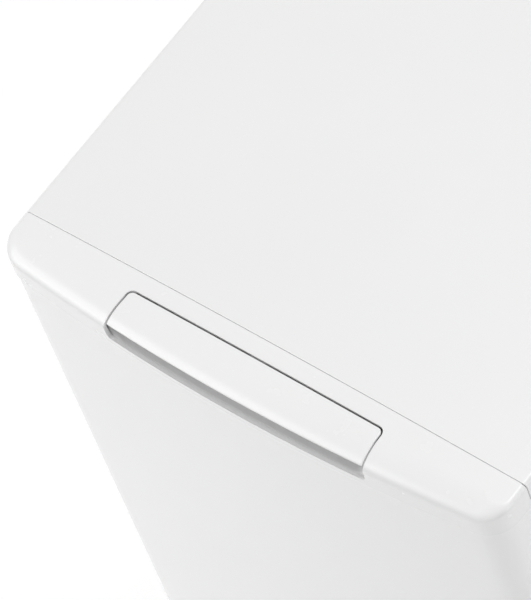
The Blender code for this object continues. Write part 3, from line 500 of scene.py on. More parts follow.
scoop_rows = []
scoop_half = WINDOW_HALF + 0.0012
scoop_ends = evenly(-1.0, 1.0, 60)
for step in range(15):
    share = step / 14
    row = []
    for end in scoop_ends:
        x = scoop_half * math.sin(end * math.pi / 2)
        lip_y = BOW_CENTRE - math.sqrt(BOW_RADIUS**2 - x**2) + 0.0020
        deep_y = -0.2830
        y = lip_y + (deep_y - lip_y) * math.sin(share * math.pi / 2)
        spoon = max(0.0, (abs(x) - (scoop_half - 0.012)) / 0.012) ** 2.2
        rise = 0.0125 * (1 - math.cos(share * math.pi / 2)) ** 1.6
        height = 0.8450 - 0.0010 * math.sin(share * math.pi) + rise
        height += spoon * 0.0130 * min(1.0, share * 6)
        row.append((x, y, min(height, under_the_roll(x, y))))
    scoop_rows.append(row)
scoop = curved_net(scoop_rows)
turn_out(scoop, (0, 0, 1))
fit("scoop", scoop, unpolished_painted_shade, "drawer", "finger_recess", wall=0.0012)


# ---- Lift handle ----
# A flap moulded in the same white plastic. It carries on the trim's surface, turns on
# a steel pin near its rear edge, and its front lip is what the fingers lift.
FLAP_GAP = 0.0012
LIP_DROP = 0.0047
flap_half = WINDOW_HALF - FLAP_GAP
flap_back = WINDOW_BACK - FLAP_GAP
flap_corner = WINDOW_CORNER - FLAP_GAP
lip_angle = math.asin(1 - LIP_DROP / ROLL_DROP)
lip_up = SKIRT + ROLL * lip_angle / (math.pi / 2)
lip_corner = 0.0012
lip_arc = arc((run_at(flap_half) - lip_corner, lip_up + lip_corner), lip_corner, -90, 0, 4)
rear_arc = arc((flap_half - flap_corner, flap_back - flap_corner), flap_corner, 0, 90, 6)
flap_side = list(lip_arc)
side_top = up_at_depth(*rear_arc[0])
flap_side += [(run_at(flap_half), up) for up in evenly(lip_up + lip_corner, side_top, 12)[1:-1]]
flap_side += [(run_at(x), up_at_depth(x, y)) for x, y in rear_arc]
flap_side += [
    (run_at(x), up_at_depth(x, flap_back)) for x in evenly(flap_half - flap_corner, 0.0, 36)[1:]
]
flap_edge = flap_side + [(-run, up) for run, up in reversed(flap_side)][1:]
lip_run = run_at(flap_half) - lip_corner
flap_edge += [(run, lip_up) for run in evenly(-lip_run, lip_run, 72)[1:-1]]
flap_rows = evenly(lip_up, SKIRT + ROLL, 10) + evenly(SKIRT + ROLL, full_up, 9)[1:]
flap = pattern(flap_edge, [], evenly(-lip_run, lip_run, 72), flap_rows, over_the_trim)
fit("lift_flap", flap, moulding, "handle", "handle_flap", wall=0.0020, edge=0.0007)


# ---- Painted drawer front ----
# A panel of enamelled sheet steel, rolled to the same bow as the trim, with its
# corners turned back round the drawer and its lower edge folded in.
PANEL_INSET = 0.0008
DRAWER_LOW = 0.082
panel_rows = []
for step in range(41):
    z = DRAWER_LOW + (TRIM_LOW - SEAM - DRAWER_LOW) * step / 40
    row = []
    for run in columns[::2]:
        place, _, _ = round_the_front(run, PANEL_INSET)
        row.append((place.x, place.y, z))
    panel_rows.append(row)
panel = curved_net(panel_rows, closing=(0,))
fit("drawer_skin", panel, enamel, "drawer", "drawer_front_panel", wall=SHEET, edge=0.0005)


# ---- Side panels ----
# Two folded sheets in the same enamel. A shallow bead is pressed round each to
# stiffen it, and two hex-headed screws hold its lower edge to the base.
TOP_SKIRT_LOW = 0.8410
FLOOR_GAP = 0.018
TOE_DEPTH = 0.017
TOE_HEIGHT = 0.080
FOLD = 0.012
SIDES = (("left", -1), ("right", 1))
BACK_FACE = 0.3005
panel_front, panel_rear = -0.262, BACK_FACE - 0.0015
bead = 0.028


def bead_depth(y, z):
    """How far the pressed field of a side panel stands in from its border."""
    inset = min(y - panel_front, panel_rear - y, z - 0.100, TOP_SKIRT_LOW - z)
    share = min(max((inset - bead) / 0.007, 0.0), 1.0)
    return 0.0011 * share * share * (3 - 2 * share)


def bead_lines(low, high, first, last, count):
    """Even lines from low to high, with closer ones over the two pressed edges."""
    near_first = [first + bead + 0.007 * k / 5 for k in range(-1, 7)]
    near_last = [last - bead - 0.007 * k / 5 for k in range(-1, 7)]
    kept = [v for v in evenly(low, high, count) if not first + 0.02 < v < first + 0.04]
    kept = [v for v in kept if not last - 0.04 < v < last - 0.02]
    return sorted(kept + near_first + near_last)


for word, side in SIDES:
    toe_y = panel_front + TOE_DEPTH
    outline = [(panel_front, TOE_HEIGHT), (toe_y, TOE_HEIGHT), (toe_y, FLOOR_GAP)]
    outline += [(y, FLOOR_GAP) for y in evenly(toe_y, panel_rear, 12)[1:]]
    outline += [(panel_rear, z) for z in evenly(FLOOR_GAP, TOP_SKIRT_LOW - SEAM, 16)[1:]]
    outline += [(y, TOP_SKIRT_LOW - SEAM) for y in evenly(panel_rear, panel_front, 12)[1:]]
    outline += [(panel_front, z) for z in evenly(TOP_SKIRT_LOW - SEAM, TOE_HEIGHT, 14)[1:-1]]
    lines_y = bead_lines(panel_front, panel_rear, panel_front, panel_rear, 12)
    lines_z = bead_lines(FLOOR_GAP, TOP_SKIRT_LOW - SEAM, 0.100, TOP_SKIRT_LOW, 20)

    def on_side(y, z, side=side):
        return (side * (WIDTH / 2 - bead_depth(y, z)), y, z)

    side_sheet = pattern(outline, [], lines_y, lines_z, on_side)
    turn_out(side_sheet, (side, 0, 0))
    rims = [edge for edge in side_sheet.edges if edge.is_boundary]
    kept = []
    for edge in rims:
        ends = [vertex.co for vertex in edge.verts]
        level_top = all(co.z > TOP_SKIRT_LOW - SEAM - 0.0001 for co in ends)
        at_front = all(co.y < panel_front + 0.0001 for co in ends)
        at_rear = all(co.y > panel_rear - 0.0001 for co in ends)
        if level_top or at_front or at_rear:
            kept.append(edge)
    folded = bmesh.ops.extrude_edge_only(side_sheet, edges=kept)
    moved = [part for part in folded["geom"] if isinstance(part, bmesh.types.BMVert)]
    bmesh.ops.translate(side_sheet, verts=moved, vec=(-side * FOLD, 0.0, 0.0))
    name = word + "_side"
    stands_for = word + "_side_panel"
    fit(name, side_sheet, enamel, "cabinet", stands_for, wall=SHEET, edge=0.0004)


# ---- Plated screws ----
# Hex-headed self-tapping screws with a pressed washer face, zinc plated. They hold
# the panels, the rails and the brackets.
zinc = Finish("zinc_plating", "zinc_plate", (0.62, 0.63, 0.65), 0.38, 1.0)
spangle = zinc.cells(140.0, "Color", feature="F1")
grains = zinc.node("ShaderNodeSeparateColor", {}, {"Color": spangle}, "Red")
zinc.feed("Base Color", zinc.shade(grains, (0.50, 0.51, 0.53), (0.70, 0.71, 0.73)))
zinc.feed("Roughness", 0.27 + 0.20 * grains)
zinc.relief(zinc.noise(220.0, 3.0), 0.00005, 0.4)


def spun(profile, steps=32):
    """A turned shape about Z from radius and height pairs, closed where they reach the axis."""
    shape = bmesh.new()
    rings = []
    for radius, height in profile:
        if radius < 1e-7:
            rings.append([shape.verts.new((0.0, 0.0, height))])
            continue
        angles = [2 * math.pi * k / steps for k in range(steps)]
        points = [(radius * math.cos(a), radius * math.sin(a), height) for a in angles]
        rings.append([shape.verts.new(point) for point in points])
    for first, second in zip(rings, rings[1:]):
        for k in range(steps):
            corners = [first[k % len(first)], first[(k + 1) % len(first)]]
            corners += [second[(k + 1) % len(second)], second[k % len(second)]]
            corners = list(dict.fromkeys(corners))
            if len(corners) > 2:
                shape.faces.new(corners)
    bmesh.ops.recalc_face_normals(shape, faces=shape.faces)
    return shape


def facing(direction, place=(0.0, 0.0, 0.0)):
    """Turn that takes +Z to a direction, and a place to go to."""
    turn = Vector(direction).to_track_quat("Z", "Y").to_matrix().to_4x4()
    return Matrix.Translation(place) @ turn


def gather(*shapes):
    """Several shapes as one."""
    whole = bmesh.new()
    for shape in shapes:
        loose = bpy.data.meshes.new("loose")
        shape.to_mesh(loose)
        shape.free()
        whole.from_mesh(loose)
        bpy.data.meshes.remove(loose)
    return whole


def moved_to(shape, matrix):
    bmesh.ops.transform(shape, matrix=matrix, verts=shape.verts)
    return shape


def hex_screw(size=0.004):
    """Head of a hex washer screw, seated on Z = 0."""
    rim, flat = size * 1.25, size * 1.02
    washer = spun([(0.0, 0.0), (rim, 0.0), (rim, 0.0003), (flat, 0.0007), (0.0, 0.0007)])
    head = bmesh.new()
    bmesh.ops.create_cone(
        head, cap_ends=True, segments=6, radius1=size, radius2=size * 0.97, depth=size * 0.62
    )
    moved_to(head, Matrix.Translation((0.0, 0.0, 0.0007 + size * 0.31)))
    bmesh.ops.bevel(
        head, geom=head.edges[:], offset=size * 0.09, segments=2, affect="EDGES"
    )
    return gather(washer, head)


def screws(name, body, direction, places, size=0.004):
    heads = [moved_to(hex_screw(size), facing(direction, place)) for place in places]
    fit(name, gather(*heads), zinc, body, sharp=30)


for word, side in SIDES:
    places = [(side * (WIDTH / 2 - 0.0030), y, 0.040) for y in (-0.180, 0.040, 0.260)]
    screws(word + "_panel_screws", "cabinet", (side, 0, 0), places, 0.0034)


# ---- Back panel ----
# A flat enamelled sheet screwed to the folded edges of the sides. Rows of slots are
# pierced low down to let the motor breathe, and a window holds the odour filter.
BACK_SHEET = 0.0012


def rounded(centre, half_x, half_y, radius, steps=5):
    """Outline of a rectangle with rounded corners."""
    edge = []
    for cx, cy, start in ((1, -1, -90), (1, 1, 0), (-1, 1, 90), (-1, -1, 180)):
        corner = (centre[0] + cx * (half_x - radius), centre[1] + cy * (half_y - radius))
        edge += arc(corner, radius, start, start + 90, steps)
    return edge


def round_ended(centre, half, radius, steps=6):
    """Outline of a slot whose two ends are half circles."""
    right_end = arc((centre[0] + half, centre[1]), radius, -90, 90, steps)
    left_end = arc((centre[0] - half, centre[1]), radius, 90, 270, steps)
    return right_end + left_end


SLOT_X, SLOT_HALF = 0.045, 0.030
GLAND_X, GLAND_Z = -0.120, 0.120
slots = []
for row_z in evenly(0.150, 0.240, 9):
    slots += [round_ended((x, row_z), SLOT_HALF, 0.0024) for x in (-SLOT_X, SLOT_X)]
filter_window = rounded((0.0, 0.680), 0.076, 0.054, 0.004)
gland_hole = arc((GLAND_X, GLAND_Z), 0.0083, 0, 350, 23)
half = WIDTH / 2 - 0.0003
back_edge = [(x, FLOOR_GAP) for x in evenly(-half, half, 16)]
back_edge += [(half, z) for z in evenly(FLOOR_GAP, TOP_SKIRT_LOW - SEAM, 30)[1:]]
back_edge += [(x, TOP_SKIRT_LOW - SEAM) for x in evenly(half, -half, 16)[1:]]
back_edge += [(-half, z) for z in evenly(TOP_SKIRT_LOW - SEAM, FLOOR_GAP, 30)[1:-1]]


def on_back(x, z):
    """The back sheet, with an embossed cross rib between its two flat fields."""
    inset = min(half - abs(x), z - FLOOR_GAP, TOP_SKIRT_LOW - z)
    share = min(max((inset - 0.022) / 0.008, 0.0), 1.0)
    ribs = max(0.0, 1 - abs(z - 0.330) / 0.010) + max(0.0, 1 - abs(z - 0.550) / 0.010)
    return (x, BACK_FACE - 0.0006 * share * ribs, z)


rib_lines = [z + d for z in (0.330, 0.550) for d in (-0.010, -0.005, 0.0, 0.005, 0.010)]
back_lines = sorted(evenly(FLOOR_GAP, TOP_SKIRT_LOW - SEAM, 40) + rib_lines)
holes = [*slots, filter_window, gland_hole]
back_sheet = pattern(back_edge, holes, evenly(-half, half, 20), back_lines, on_back)
turn_out(back_sheet, (0, 1, 0))
fit("back_sheet", back_sheet, enamel, "cabinet", "back_panel", wall=BACK_SHEET, edge=0.0002)
back_places = [(side * 0.184, BACK_FACE, z) for side in (-1, 1) for z in (0.05, 0.25, 0.45, 0.82)]
back_places += [(x, BACK_FACE, 0.030) for x in (-0.09, 0.09)]
screws("back_screws", "cabinet", (0, 1, 0), back_places, 0.0034)


# ---- Odour filter and its door ----
# A charcoal foam pad stands behind the window. The white moulded door in front of it
# is hinged along its lower edge and has slots for the air and a finger notch on top.
charcoal = Finish("charcoal_foam", "filter_media", (0.045, 0.045, 0.047), 0.95)
pores = charcoal.cells(420.0, "Distance", feature="F1")
charcoal.feed("Base Color", charcoal.shade(pores, (0.012, 0.012, 0.013), (0.085, 0.085, 0.088)))
charcoal.relief(pores, 0.0006, 1.0)
low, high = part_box("odour_filter")
pad = bmesh.new()
bmesh.ops.create_grid(pad, x_segments=30, y_segments=22, size=0.5)
for vertex in pad.verts:
    x = low.x + (vertex.co.x + 0.5) * (high.x - low.x)
    z = low.z + (vertex.co.y + 0.5) * (high.z - low.z)
    crown = (1 - (2 * vertex.co.x) ** 4) * (1 - (2 * vertex.co.y) ** 4)
    vertex.co = Vector((x, high.y - 0.0015 + 0.0012 * crown, z))
turn_out(pad, (0, 1, 0))
fit("filter_pad", pad, charcoal, "cabinet", "odour_filter", wall=0.018, edge=0.0010)


def block(size, centre=(0.0, 0.0, 0.0)):
    """A plain box."""
    shape = bmesh.new()
    matrix = Matrix.Translation(centre) @ Matrix.Diagonal((*size, 1.0))
    bmesh.ops.create_cube(shape, size=1.0, matrix=matrix)
    return shape


door_low, door_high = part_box("filter_door")
middle, half_size = (door_low + door_high) / 2, (door_high - door_low) / 2
door_edge = rounded((middle.x, middle.z), half_size.x, half_size.z, 0.005, 6)
door_slots = []
for row_z in evenly(0.640, 0.716, 8):
    door_slots += [round_ended((x, row_z), 0.025, 0.0022) for x in (-0.034, 0.034)]


def on_door(x, z):
    return (x, door_high.y - 0.0002, z)


door_lines = evenly(door_low.x + 0.004, door_high.x - 0.004, 24)
door = pattern(door_edge, door_slots, door_lines, evenly(0.620, 0.740, 18), on_door)
turn_out(door, (0, 1, 0))
fit("vent_door", door, moulding, "filter_door", "filter_door", wall=0.0022, edge=0.0005)
catch = block((0.026, 0.0012, 0.006), (0.0, door_high.y + 0.0002, 0.733))
fit("door_catch", catch, moulding, "filter_door", edge=0.0005)


# ---- Kick plate ----
# A strip of enamelled sheet behind the drawer's toe space, held by two screws.
low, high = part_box("kick_plate")
kick = bmesh.new()
bmesh.ops.create_grid(kick, x_segments=40, y_segments=10, size=0.5)
for vertex in kick.verts:
    x = low.x + (vertex.co.x + 0.5) * (high.x - low.x)
    z = low.z + (vertex.co.y + 0.5) * (high.z - low.z)
    vertex.co = Vector((x, low.y, z))
bmesh.ops.recalc_face_normals(kick, faces=kick.faces)
turn_out(kick, (0, -1, 0))
fit("toe_plate", kick, enamel, "cabinet", "kick_plate", wall=SHEET, edge=0.0004)
kick_places = [(side * 0.150, low.y, 0.060) for side in (-1, 1)]
screws("toe_screws", "cabinet", (0, -1, 0), kick_places, 0.0034)


# ---- Control console ----
# A hollow white moulding across the back of the top, its sloping fascia facing the
# user. It is held from below and pierced for the knob, two push buttons and a lens.
TILT = math.radians(20)
FASCIA_Y, FASCIA_Z = 0.222, 0.8635
CONTROL_Y = 0.255
KNOB_X, START_X, STOP_X, LENS_X = 0.120, 0.045, 0.010, -0.030


def fascia(x, y=CONTROL_Y, lift=0.0):
    z = FASCIA_Z + (y - FASCIA_Y) * math.tan(TILT)
    return Vector((x, y - lift * math.sin(TILT), z + lift * math.cos(TILT)))


def controls_at(x, lift=0.0):
    """Place and tilt for something that stands on the fascia."""
    return Matrix.Translation(fascia(x, CONTROL_Y, lift)) @ Matrix.Rotation(TILT, 4, "X")


high_z = FASCIA_Z + 0.066 * math.tan(TILT)
ease = 0.003
nose = arc((0.2155 + ease, FASCIA_Z - 0.003), ease, 180, 115, 5)
console_path = [(0.2155, 0.8410), (0.2155, 0.8500), *nose]
console_path += [(y, fascia(0.0, y).z) for y in evenly(0.2225, 0.2865, 16)]
console_path += [(0.2890, high_z - 0.0001), (0.2925, high_z), (0.2970, high_z)]
console_path += arc((0.3010, high_z - 0.004), 0.004, 90, 0, 6)
console_path += [(0.3050, 0.8700), (0.3050, 0.8550), (0.3050, 0.8410)]
lengths = [0.0]
for (y1, z1), (y2, z2) in zip(console_path, console_path[1:]):
    lengths.append(lengths[-1] + math.hypot(y2 - y1, z2 - z1))


def along_console(distance):
    for index in range(1, len(lengths)):
        if distance <= lengths[index] + 1e-9:
            span = lengths[index] - lengths[index - 1]
            share = (distance - lengths[index - 1]) / span
            (y1, z1), (y2, z2) = console_path[index - 1], console_path[index]
            return (y1 + (y2 - y1) * share, z1 + (z2 - z1) * share)
    return console_path[-1]


centre_run = 0.0
for index in range(1, len(lengths)):
    if console_path[index][0] >= CONTROL_Y and centre_run == 0.0:
        over = (console_path[index][0] - CONTROL_Y) / math.cos(TILT)
        centre_run = lengths[index] - over
openings = [rounded((x, centre_run), 0.0126, 0.0076, 0.0015) for x in (START_X, STOP_X)]
openings.append(arc((LENS_X, centre_run), 0.0042, 0, 345, 23))
end = WIDTH / 2
console_edge = [(x, 0.0) for x in evenly(-end, end, 30)]
console_edge += [(end, run) for run in lengths[1:]]
console_edge += [(x, lengths[-1]) for x in evenly(end, -end, 30)[1:]]
console_edge += [(-end, run) for run in reversed(lengths[1:-1])]


def on_console(x, run):
    y, z = along_console(run)
    return (x, y, z)


hood = pattern(console_edge, openings, evenly(-end, end, 76), lengths, on_console)
for side in (-1, 1):
    hood.faces.new([hood.verts.new((side * end, y, z)) for y, z in console_path])
bmesh.ops.remove_doubles(hood, verts=hood.verts, dist=0.00001)
bmesh.ops.recalc_face_normals(hood, faces=hood.faces)
fit("console_hood", hood, moulding, "cabinet", "control_console", wall=0.0025, edge=0.0008)


# ---- Knob, buttons and lens ----
# The knob is a white moulding with a fluted grip and an inlaid pointer. The buttons
# are grey caps that spring back, and the lens is a tinted dome over a small lamp.
grey = Finish("grey_moulding", "grey_plastic", (0.42, 0.43, 0.44), 0.45)
mottle = grey.noise(18.0, 4.0)
grey.feed("Base Color", grey.shade(mottle, (0.38, 0.39, 0.40), (0.46, 0.47, 0.48)))
grey.feed("Roughness", 0.40 + 0.15 * grey.noise(90.0, 3.0))
grey.relief(grey.noise(1100.0, 2.0), 0.00003, 0.5)
black = Finish("black_moulding", "dark_plastic", (0.035, 0.035, 0.038), 0.45)
black.feed("Roughness", 0.38 + 0.2 * black.noise(70.0, 3.0))
black.relief(black.noise(900.0, 2.0), 0.00003, 0.5)

knob = spun(
    [
        (0.0, 0.0162),
        (0.0120, 0.0162),
        (0.0146, 0.0160),
        (0.0156, 0.0154),
        (0.0161, 0.0144),
        (0.0166, 0.0100),
        (0.0171, 0.0052),
        (0.0184, 0.0042),
        (0.0185, 0.0010),
        (0.0181, 0.0004),
        (0.0, 0.0004),
    ],
    96,
)
for vertex in knob.verts:
    radius = math.hypot(vertex.co.x, vertex.co.y)
    if 0.0150 < radius < 0.0172 and 0.0050 < vertex.co.z < 0.0156:
        angle = math.atan2(vertex.co.y, vertex.co.x)
        flute = 0.0005 * (1 - math.cos(24 * angle)) / 2
        vertex.co.x *= (radius - flute) / radius
        vertex.co.y *= (radius - flute) / radius
moved_to(knob, controls_at(KNOB_X))
fit("selector_knob", knob, moulding, "knob", "control_knob", sharp=50)
pointer = block((0.0016, 0.0105, 0.0005), (0.0, 0.0082, 0.01622))
moved_to(pointer, controls_at(KNOB_X))
fit("knob_pointer", pointer, black, "knob", edge=0.0002)
marks = []
for degrees in (90, 60, 30, 0):
    length = 0.0042 if degrees in (90, 0) else 0.0028
    mark = block((length, 0.0009, 0.0002), (0.0226, 0.0, 0.00005))
    turn = Matrix.Rotation(math.radians(degrees), 4, "Z")
    marks.append(moved_to(mark, controls_at(KNOB_X) @ turn))
fit("dial_marks", gather(*marks), black, "cabinet", edge=0.00008)

for name, x, dished in (("start_button", START_X, -1), ("stop_button", STOP_X, 1)):
    cap_edge = rounded((0.0, 0.0), 0.0120, 0.0070, 0.0014)

    def on_cap(u, v, dished=dished):
        bowl = max(0.0, 1 - (u / 0.0115) ** 2) * max(0.0, 1 - (v / 0.0066) ** 2)
        return (u, v, 0.0035 + 0.0004 * dished * bowl - 0.0004)

    cap = pattern(cap_edge, [], evenly(-0.012, 0.012, 18), evenly(-0.007, 0.007, 12), on_cap)
    turn_out(cap, (0, 0, 1))
    moved_to(cap, controls_at(x))
    fit(name[:-7] + "_cap", cap, grey, name, name, wall=0.0085, edge=0.0008)

glass = Finish("amber_lens", "indicator_lens", (0.80, 0.22, 0.05), 0.08, Coat_Weight=0.6)
rays = glass.cells(900.0, "Distance", feature="F1")
glass.feed("Base Color", glass.shade(rays, (0.85, 0.28, 0.06), (0.62, 0.13, 0.03)))
glass.relief(rays, 0.0002, 0.3)
dome = spun(
    [(0.0, 0.0020), (0.0012, 0.00185), (0.0023, 0.0015), (0.0032, 0.0009), (0.0038, 0.0002)]
    + [(0.0039, -0.0006), (0.0039, -0.0040), (0.0, -0.0040)],
    40,
)
fit("lamp_lens", moved_to(dome, controls_at(LENS_X)), glass, "cabinet", "indicator_lens", sharp=50)
bezel = spun([(0.0041, 0.0001), (0.0046, 0.0007), (0.0053, 0.0006), (0.0057, 0.0001)], 40)
fit("lens_bezel", moved_to(bezel, controls_at(LENS_X)), grey, "cabinet", wall=0.0003)


# ---- Base pan and feet ----
# A folded, zinc-plated pan closes the bottom and carries the drive. Four grey moulded
# feet screw up into it on steel stems, so that the machine can be levelled.
steel = Finish("bright_steel", "bright_steel", (0.56, 0.57, 0.59), 0.28, 1.0)
drawn = steel.noise(900.0, 2.0, stretch=(1.0, 1.0, 0.06))
steel.feed("Roughness", 0.20 + 0.20 * drawn)
steel.feed("Base Color", steel.shade(drawn, (0.50, 0.51, 0.53), (0.62, 0.63, 0.65)))
steel.relief(drawn, 0.00002, 0.5)


def open_tray(low, high, missing, radius, steps=3):
    """A folded box without the sides in missing, its folds rounded."""
    box = block(high - low, (low + high) / 2)
    box.normal_update()
    gone = [face for face in box.faces if any(face.normal.dot(Vector(m)) > 0.9 for m in missing)]
    bmesh.ops.delete(box, geom=gone, context="FACES")
    folds = [edge for edge in box.edges if len(edge.link_faces) == 2]
    bmesh.ops.bevel(box, geom=folds, offset=radius, segments=steps, affect="EDGES")
    return box


def drill(item, shapes):
    """Cut holes through a piece's blank, before its edges are eased."""
    tool_mesh = bpy.data.meshes.new("drill")
    whole = gather(*shapes)
    whole.to_mesh(tool_mesh)
    whole.free()
    tool = bpy.data.objects.new("drill", tool_mesh)
    scene.collection.objects.link(tool)
    step = item.modifiers.new("holes", "BOOLEAN")
    step.operation = "DIFFERENCE"
    step.object = tool
    for index, modifier in enumerate(item.modifiers):
        if modifier.type == "BEVEL":
            item.modifiers.move(len(item.modifiers) - 1, index)
            break
    view = bpy.context.evaluated_depsgraph_get()
    finished = bpy.data.meshes.new_from_object(item.evaluated_get(view))
    item.modifiers.clear()
    item.data = finished
    bpy.data.objects.remove(tool)
    return item


def bar(radius, low, high, place, axis="Z", steps=28):
    rod = spun([(0.0, high), (radius, high), (radius, low), (0.0, low)], steps)
    directions = {"X": (1, 0, 0), "Y": (0, 1, 0), "Z": (0, 0, 1)}
    origins = {"X": (0.0, *place), "Y": (place[0], 0.0, place[1]), "Z": (*place, 0.0)}
    return moved_to(rod, facing(directions[axis], origins[axis]))


SCREW_X, SCREW_Y = 0.160, -0.0425
MOTOR_X, MOTOR_Y = 0.0, 0.215
low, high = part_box("base_pan")
pan = open_tray(low, high, [(0, 0, -1)], 0.0015)
pan = fit("drip_pan", pan, zinc, "cabinet", "base_pan", wall=0.002, edge=0.0003)
holes = [bar(0.0153, 0.05, 0.07, (side * SCREW_X, SCREW_Y)) for side in (-1, 1)]
holes.append(bar(0.008, 0.05, 0.07, (MOTOR_X, MOTOR_Y)))
drill(pan, holes)
tread = []
for name in ("front_left_foot", "front_right_foot", "rear_left_foot", "rear_right_foot"):
    low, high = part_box(name)
    centre = ((low.x + high.x) / 2, (low.y + high.y) / 2)
    pad = spun(
        [(0.0, 0.0), (0.0165, 0.0), (0.0180, 0.0012), (0.0180, 0.0050), (0.0172, 0.0060)]
        + [(0.0098, 0.0080), (0.0092, 0.0090), (0.0092, 0.0132), (0.0084, 0.0140), (0.0, 0.0140)],
        48,
    )
    for vertex in pad.verts:
        radius = math.hypot(vertex.co.x, vertex.co.y)
        if radius > 0.0170 and 0.0010 < vertex.co.z < 0.0055:
            angle = math.atan2(vertex.co.y, vertex.co.x)
            grip = 1 - 0.025 * (1 + math.cos(12 * angle)) / 2
            vertex.co.x *= grip
            vertex.co.y *= grip
    moved_to(pad, Matrix.Translation((*centre, 0.0)))
    fit(name + "_pad", pad, grey, "cabinet", name, sharp=40)
    stem_section = [(0.0, 0.0140)]
    for turn in range(30):
        z = 0.0145 + turn * 0.0015
        stem_section += [(0.0034, z), (0.0040, z + 0.00075)]
    stem_section += [(0.0034, 0.0594), (0.0, 0.0594)]
    tread.append(moved_to(spun(stem_section, 24), Matrix.Translation((*centre, 0.0))))
fit("foot_stems", gather(*tread), steel, "cabinet", sharp=40)


# ---- Frame, rails and rollers ----
# Zinc-plated steel members tie the sides together. Two channel rails are screwed to
# the base, and the drawer's runners travel on grey moulded rollers.
def plain_bar(name, node, finish, edge):
    low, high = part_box(node)
    shape = block(high - low, (low + high) / 2)
    return fit(name, shape, finish, "cabinet", node, edge=edge)


low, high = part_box("top_front_rail")
rail = open_tray(low, high, [(0, 1, 0)], 0.0020)
fit("front_rail", rail, zinc, "cabinet", "top_front_rail", wall=0.0020, edge=0.0003)
brace = plain_bar("drive_brace", "upper_drive_brace", zinc, 0.0012)
drill(brace, [bar(0.0153, 0.78, 0.82, (side * SCREW_X, SCREW_Y)) for side in (-1, 1)])
plain_bar("hook_keeper", "latch_keeper", steel, 0.0006)

ROLLER_Y, ROLLER_Z = -0.231, 0.0737
for word, side in SIDES:
    low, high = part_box(word + "_outer_rail")
    inner_x = side * 0.128
    outer_x = side * 0.144
    corner_low = Vector((min(inner_x, outer_x), -0.2428, 0.066))
    corner_high = Vector((max(inner_x, outer_x), high.y, 0.092))
    if side > 0:
        missing = [(-1, 0, 0), (0, 1, 0), (0, -1, 0)]
    else:
        missing = [(1, 0, 0), (0, 1, 0), (0, -1, 0)]
    channel = open_tray(corner_low, corner_high, missing, 0.0022, 4)
    stands_for = word + "_outer_rail"
    fit(word + "_channel", channel, zinc, "cabinet", stands_for, wall=0.002, edge=0.0003)
    axle_low, axle_high = sorted((side * 0.1105, side * 0.1430))
    axle = bar(0.003, axle_low, axle_high, (ROLLER_Y, ROLLER_Z), "X")
    head = moved_to(
        spun([(0.0, 0.0012), (0.0034, 0.0011), (0.0042, 0.0004), (0.0042, 0.0), (0.0, 0.0)], 28),
        facing((-side, 0, 0), (side * 0.1108, ROLLER_Y, ROLLER_Z)),
    )
    fit(word + "_axle", gather(axle, head), steel, "cabinet", sharp=35)
    places = [(side * 0.1430, y, 0.079) for y in (-0.150, 0.000, 0.150)]
    screws(word + "_rail_screws", "cabinet", (side, 0, 0), places, 0.0030)


def roller(name, node, body, half_width):
    """A grey wheel with a groove on each face and a rounded tread."""
    low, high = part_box(node)
    centre = (low + high) / 2
    bore, rim = 0.0033, 0.0100
    half = [
        (bore, 0.0),
        (bore, half_width),
        (0.0050, half_width),
        (0.0054, half_width - 0.0012),
        (0.0080, half_width - 0.0012),
        (0.0084, half_width),
        (0.0092, half_width),
        (rim, half_width - 0.0010),
        (rim, 0.0),
    ]
    section = half + [(radius, -height) for radius, height in reversed(half[:-1])]
    wheel = spun(section, 40)
    fit(name, moved_to(wheel, facing((1, 0, 0), centre)), grey, body, node, sharp=40)


for word in ("left", "right"):
    roller(word + "_front_wheel", "cabinet_roller_" + word, "cabinet_roller_" + word, 0.005)
    roller(word + "_rear_wheel", "drawer_roller_" + word, "drawer_roller_" + word, 0.0045)


# ---- Drawer carriage ----
# A zinc-plated floor with two box runners folded under it, and lugs at the rear
# that hold the axles of the drawer's own rollers. Ribs are pressed across the floor.
low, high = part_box("drawer_carriage")
floor_half, floor_back = 0.138, 0.140
deck = bmesh.new()
bmesh.ops.create_grid(deck, x_segments=60, y_segments=90, size=0.5)
for vertex in deck.verts:
    x = vertex.co.x * 2 * floor_half
    y = low.y + (vertex.co.y + 0.5) * (floor_back - low.y)
    wave = max(0.0, math.cos(2 * math.pi * (y + 0.0612) / 0.080)) ** 6
    dip = 0.0009 * wave * (1.0 if abs(x) < 0.095 else 0.0)
    vertex.co = Vector((x, y, 0.1070 - dip))
bmesh.ops.recalc_face_normals(deck, faces=deck.faces)
turn_out(deck, (0, 0, 1))
fit("carriage_deck", deck, zinc, "drawer", "drawer_carriage", wall=0.0011, edge=0.0003)
for word, side in SIDES:
    low_x, high_x = sorted((side * 0.110, side * 0.124))
    runner = open_tray(
        Vector((low_x, low.y, 0.084)), Vector((high_x, 0.165, 0.1055)), [], 0.0015
    )
    lug = open_tray(
        Vector((low_x, 0.150, 0.070)), Vector((high_x, 0.165, 0.0845)), [], 0.0025
    )
    fit(word + "_runner", gather(runner, lug), zinc, "drawer", sharp=40)
    axle_low, axle_high = sorted((side * 0.1225, side * 0.1410))
    axle = bar(0.003, axle_low, axle_high, (0.1575, 0.0784), "X")
    fit(word + "_rear_axle", axle, steel, "drawer", sharp=35)


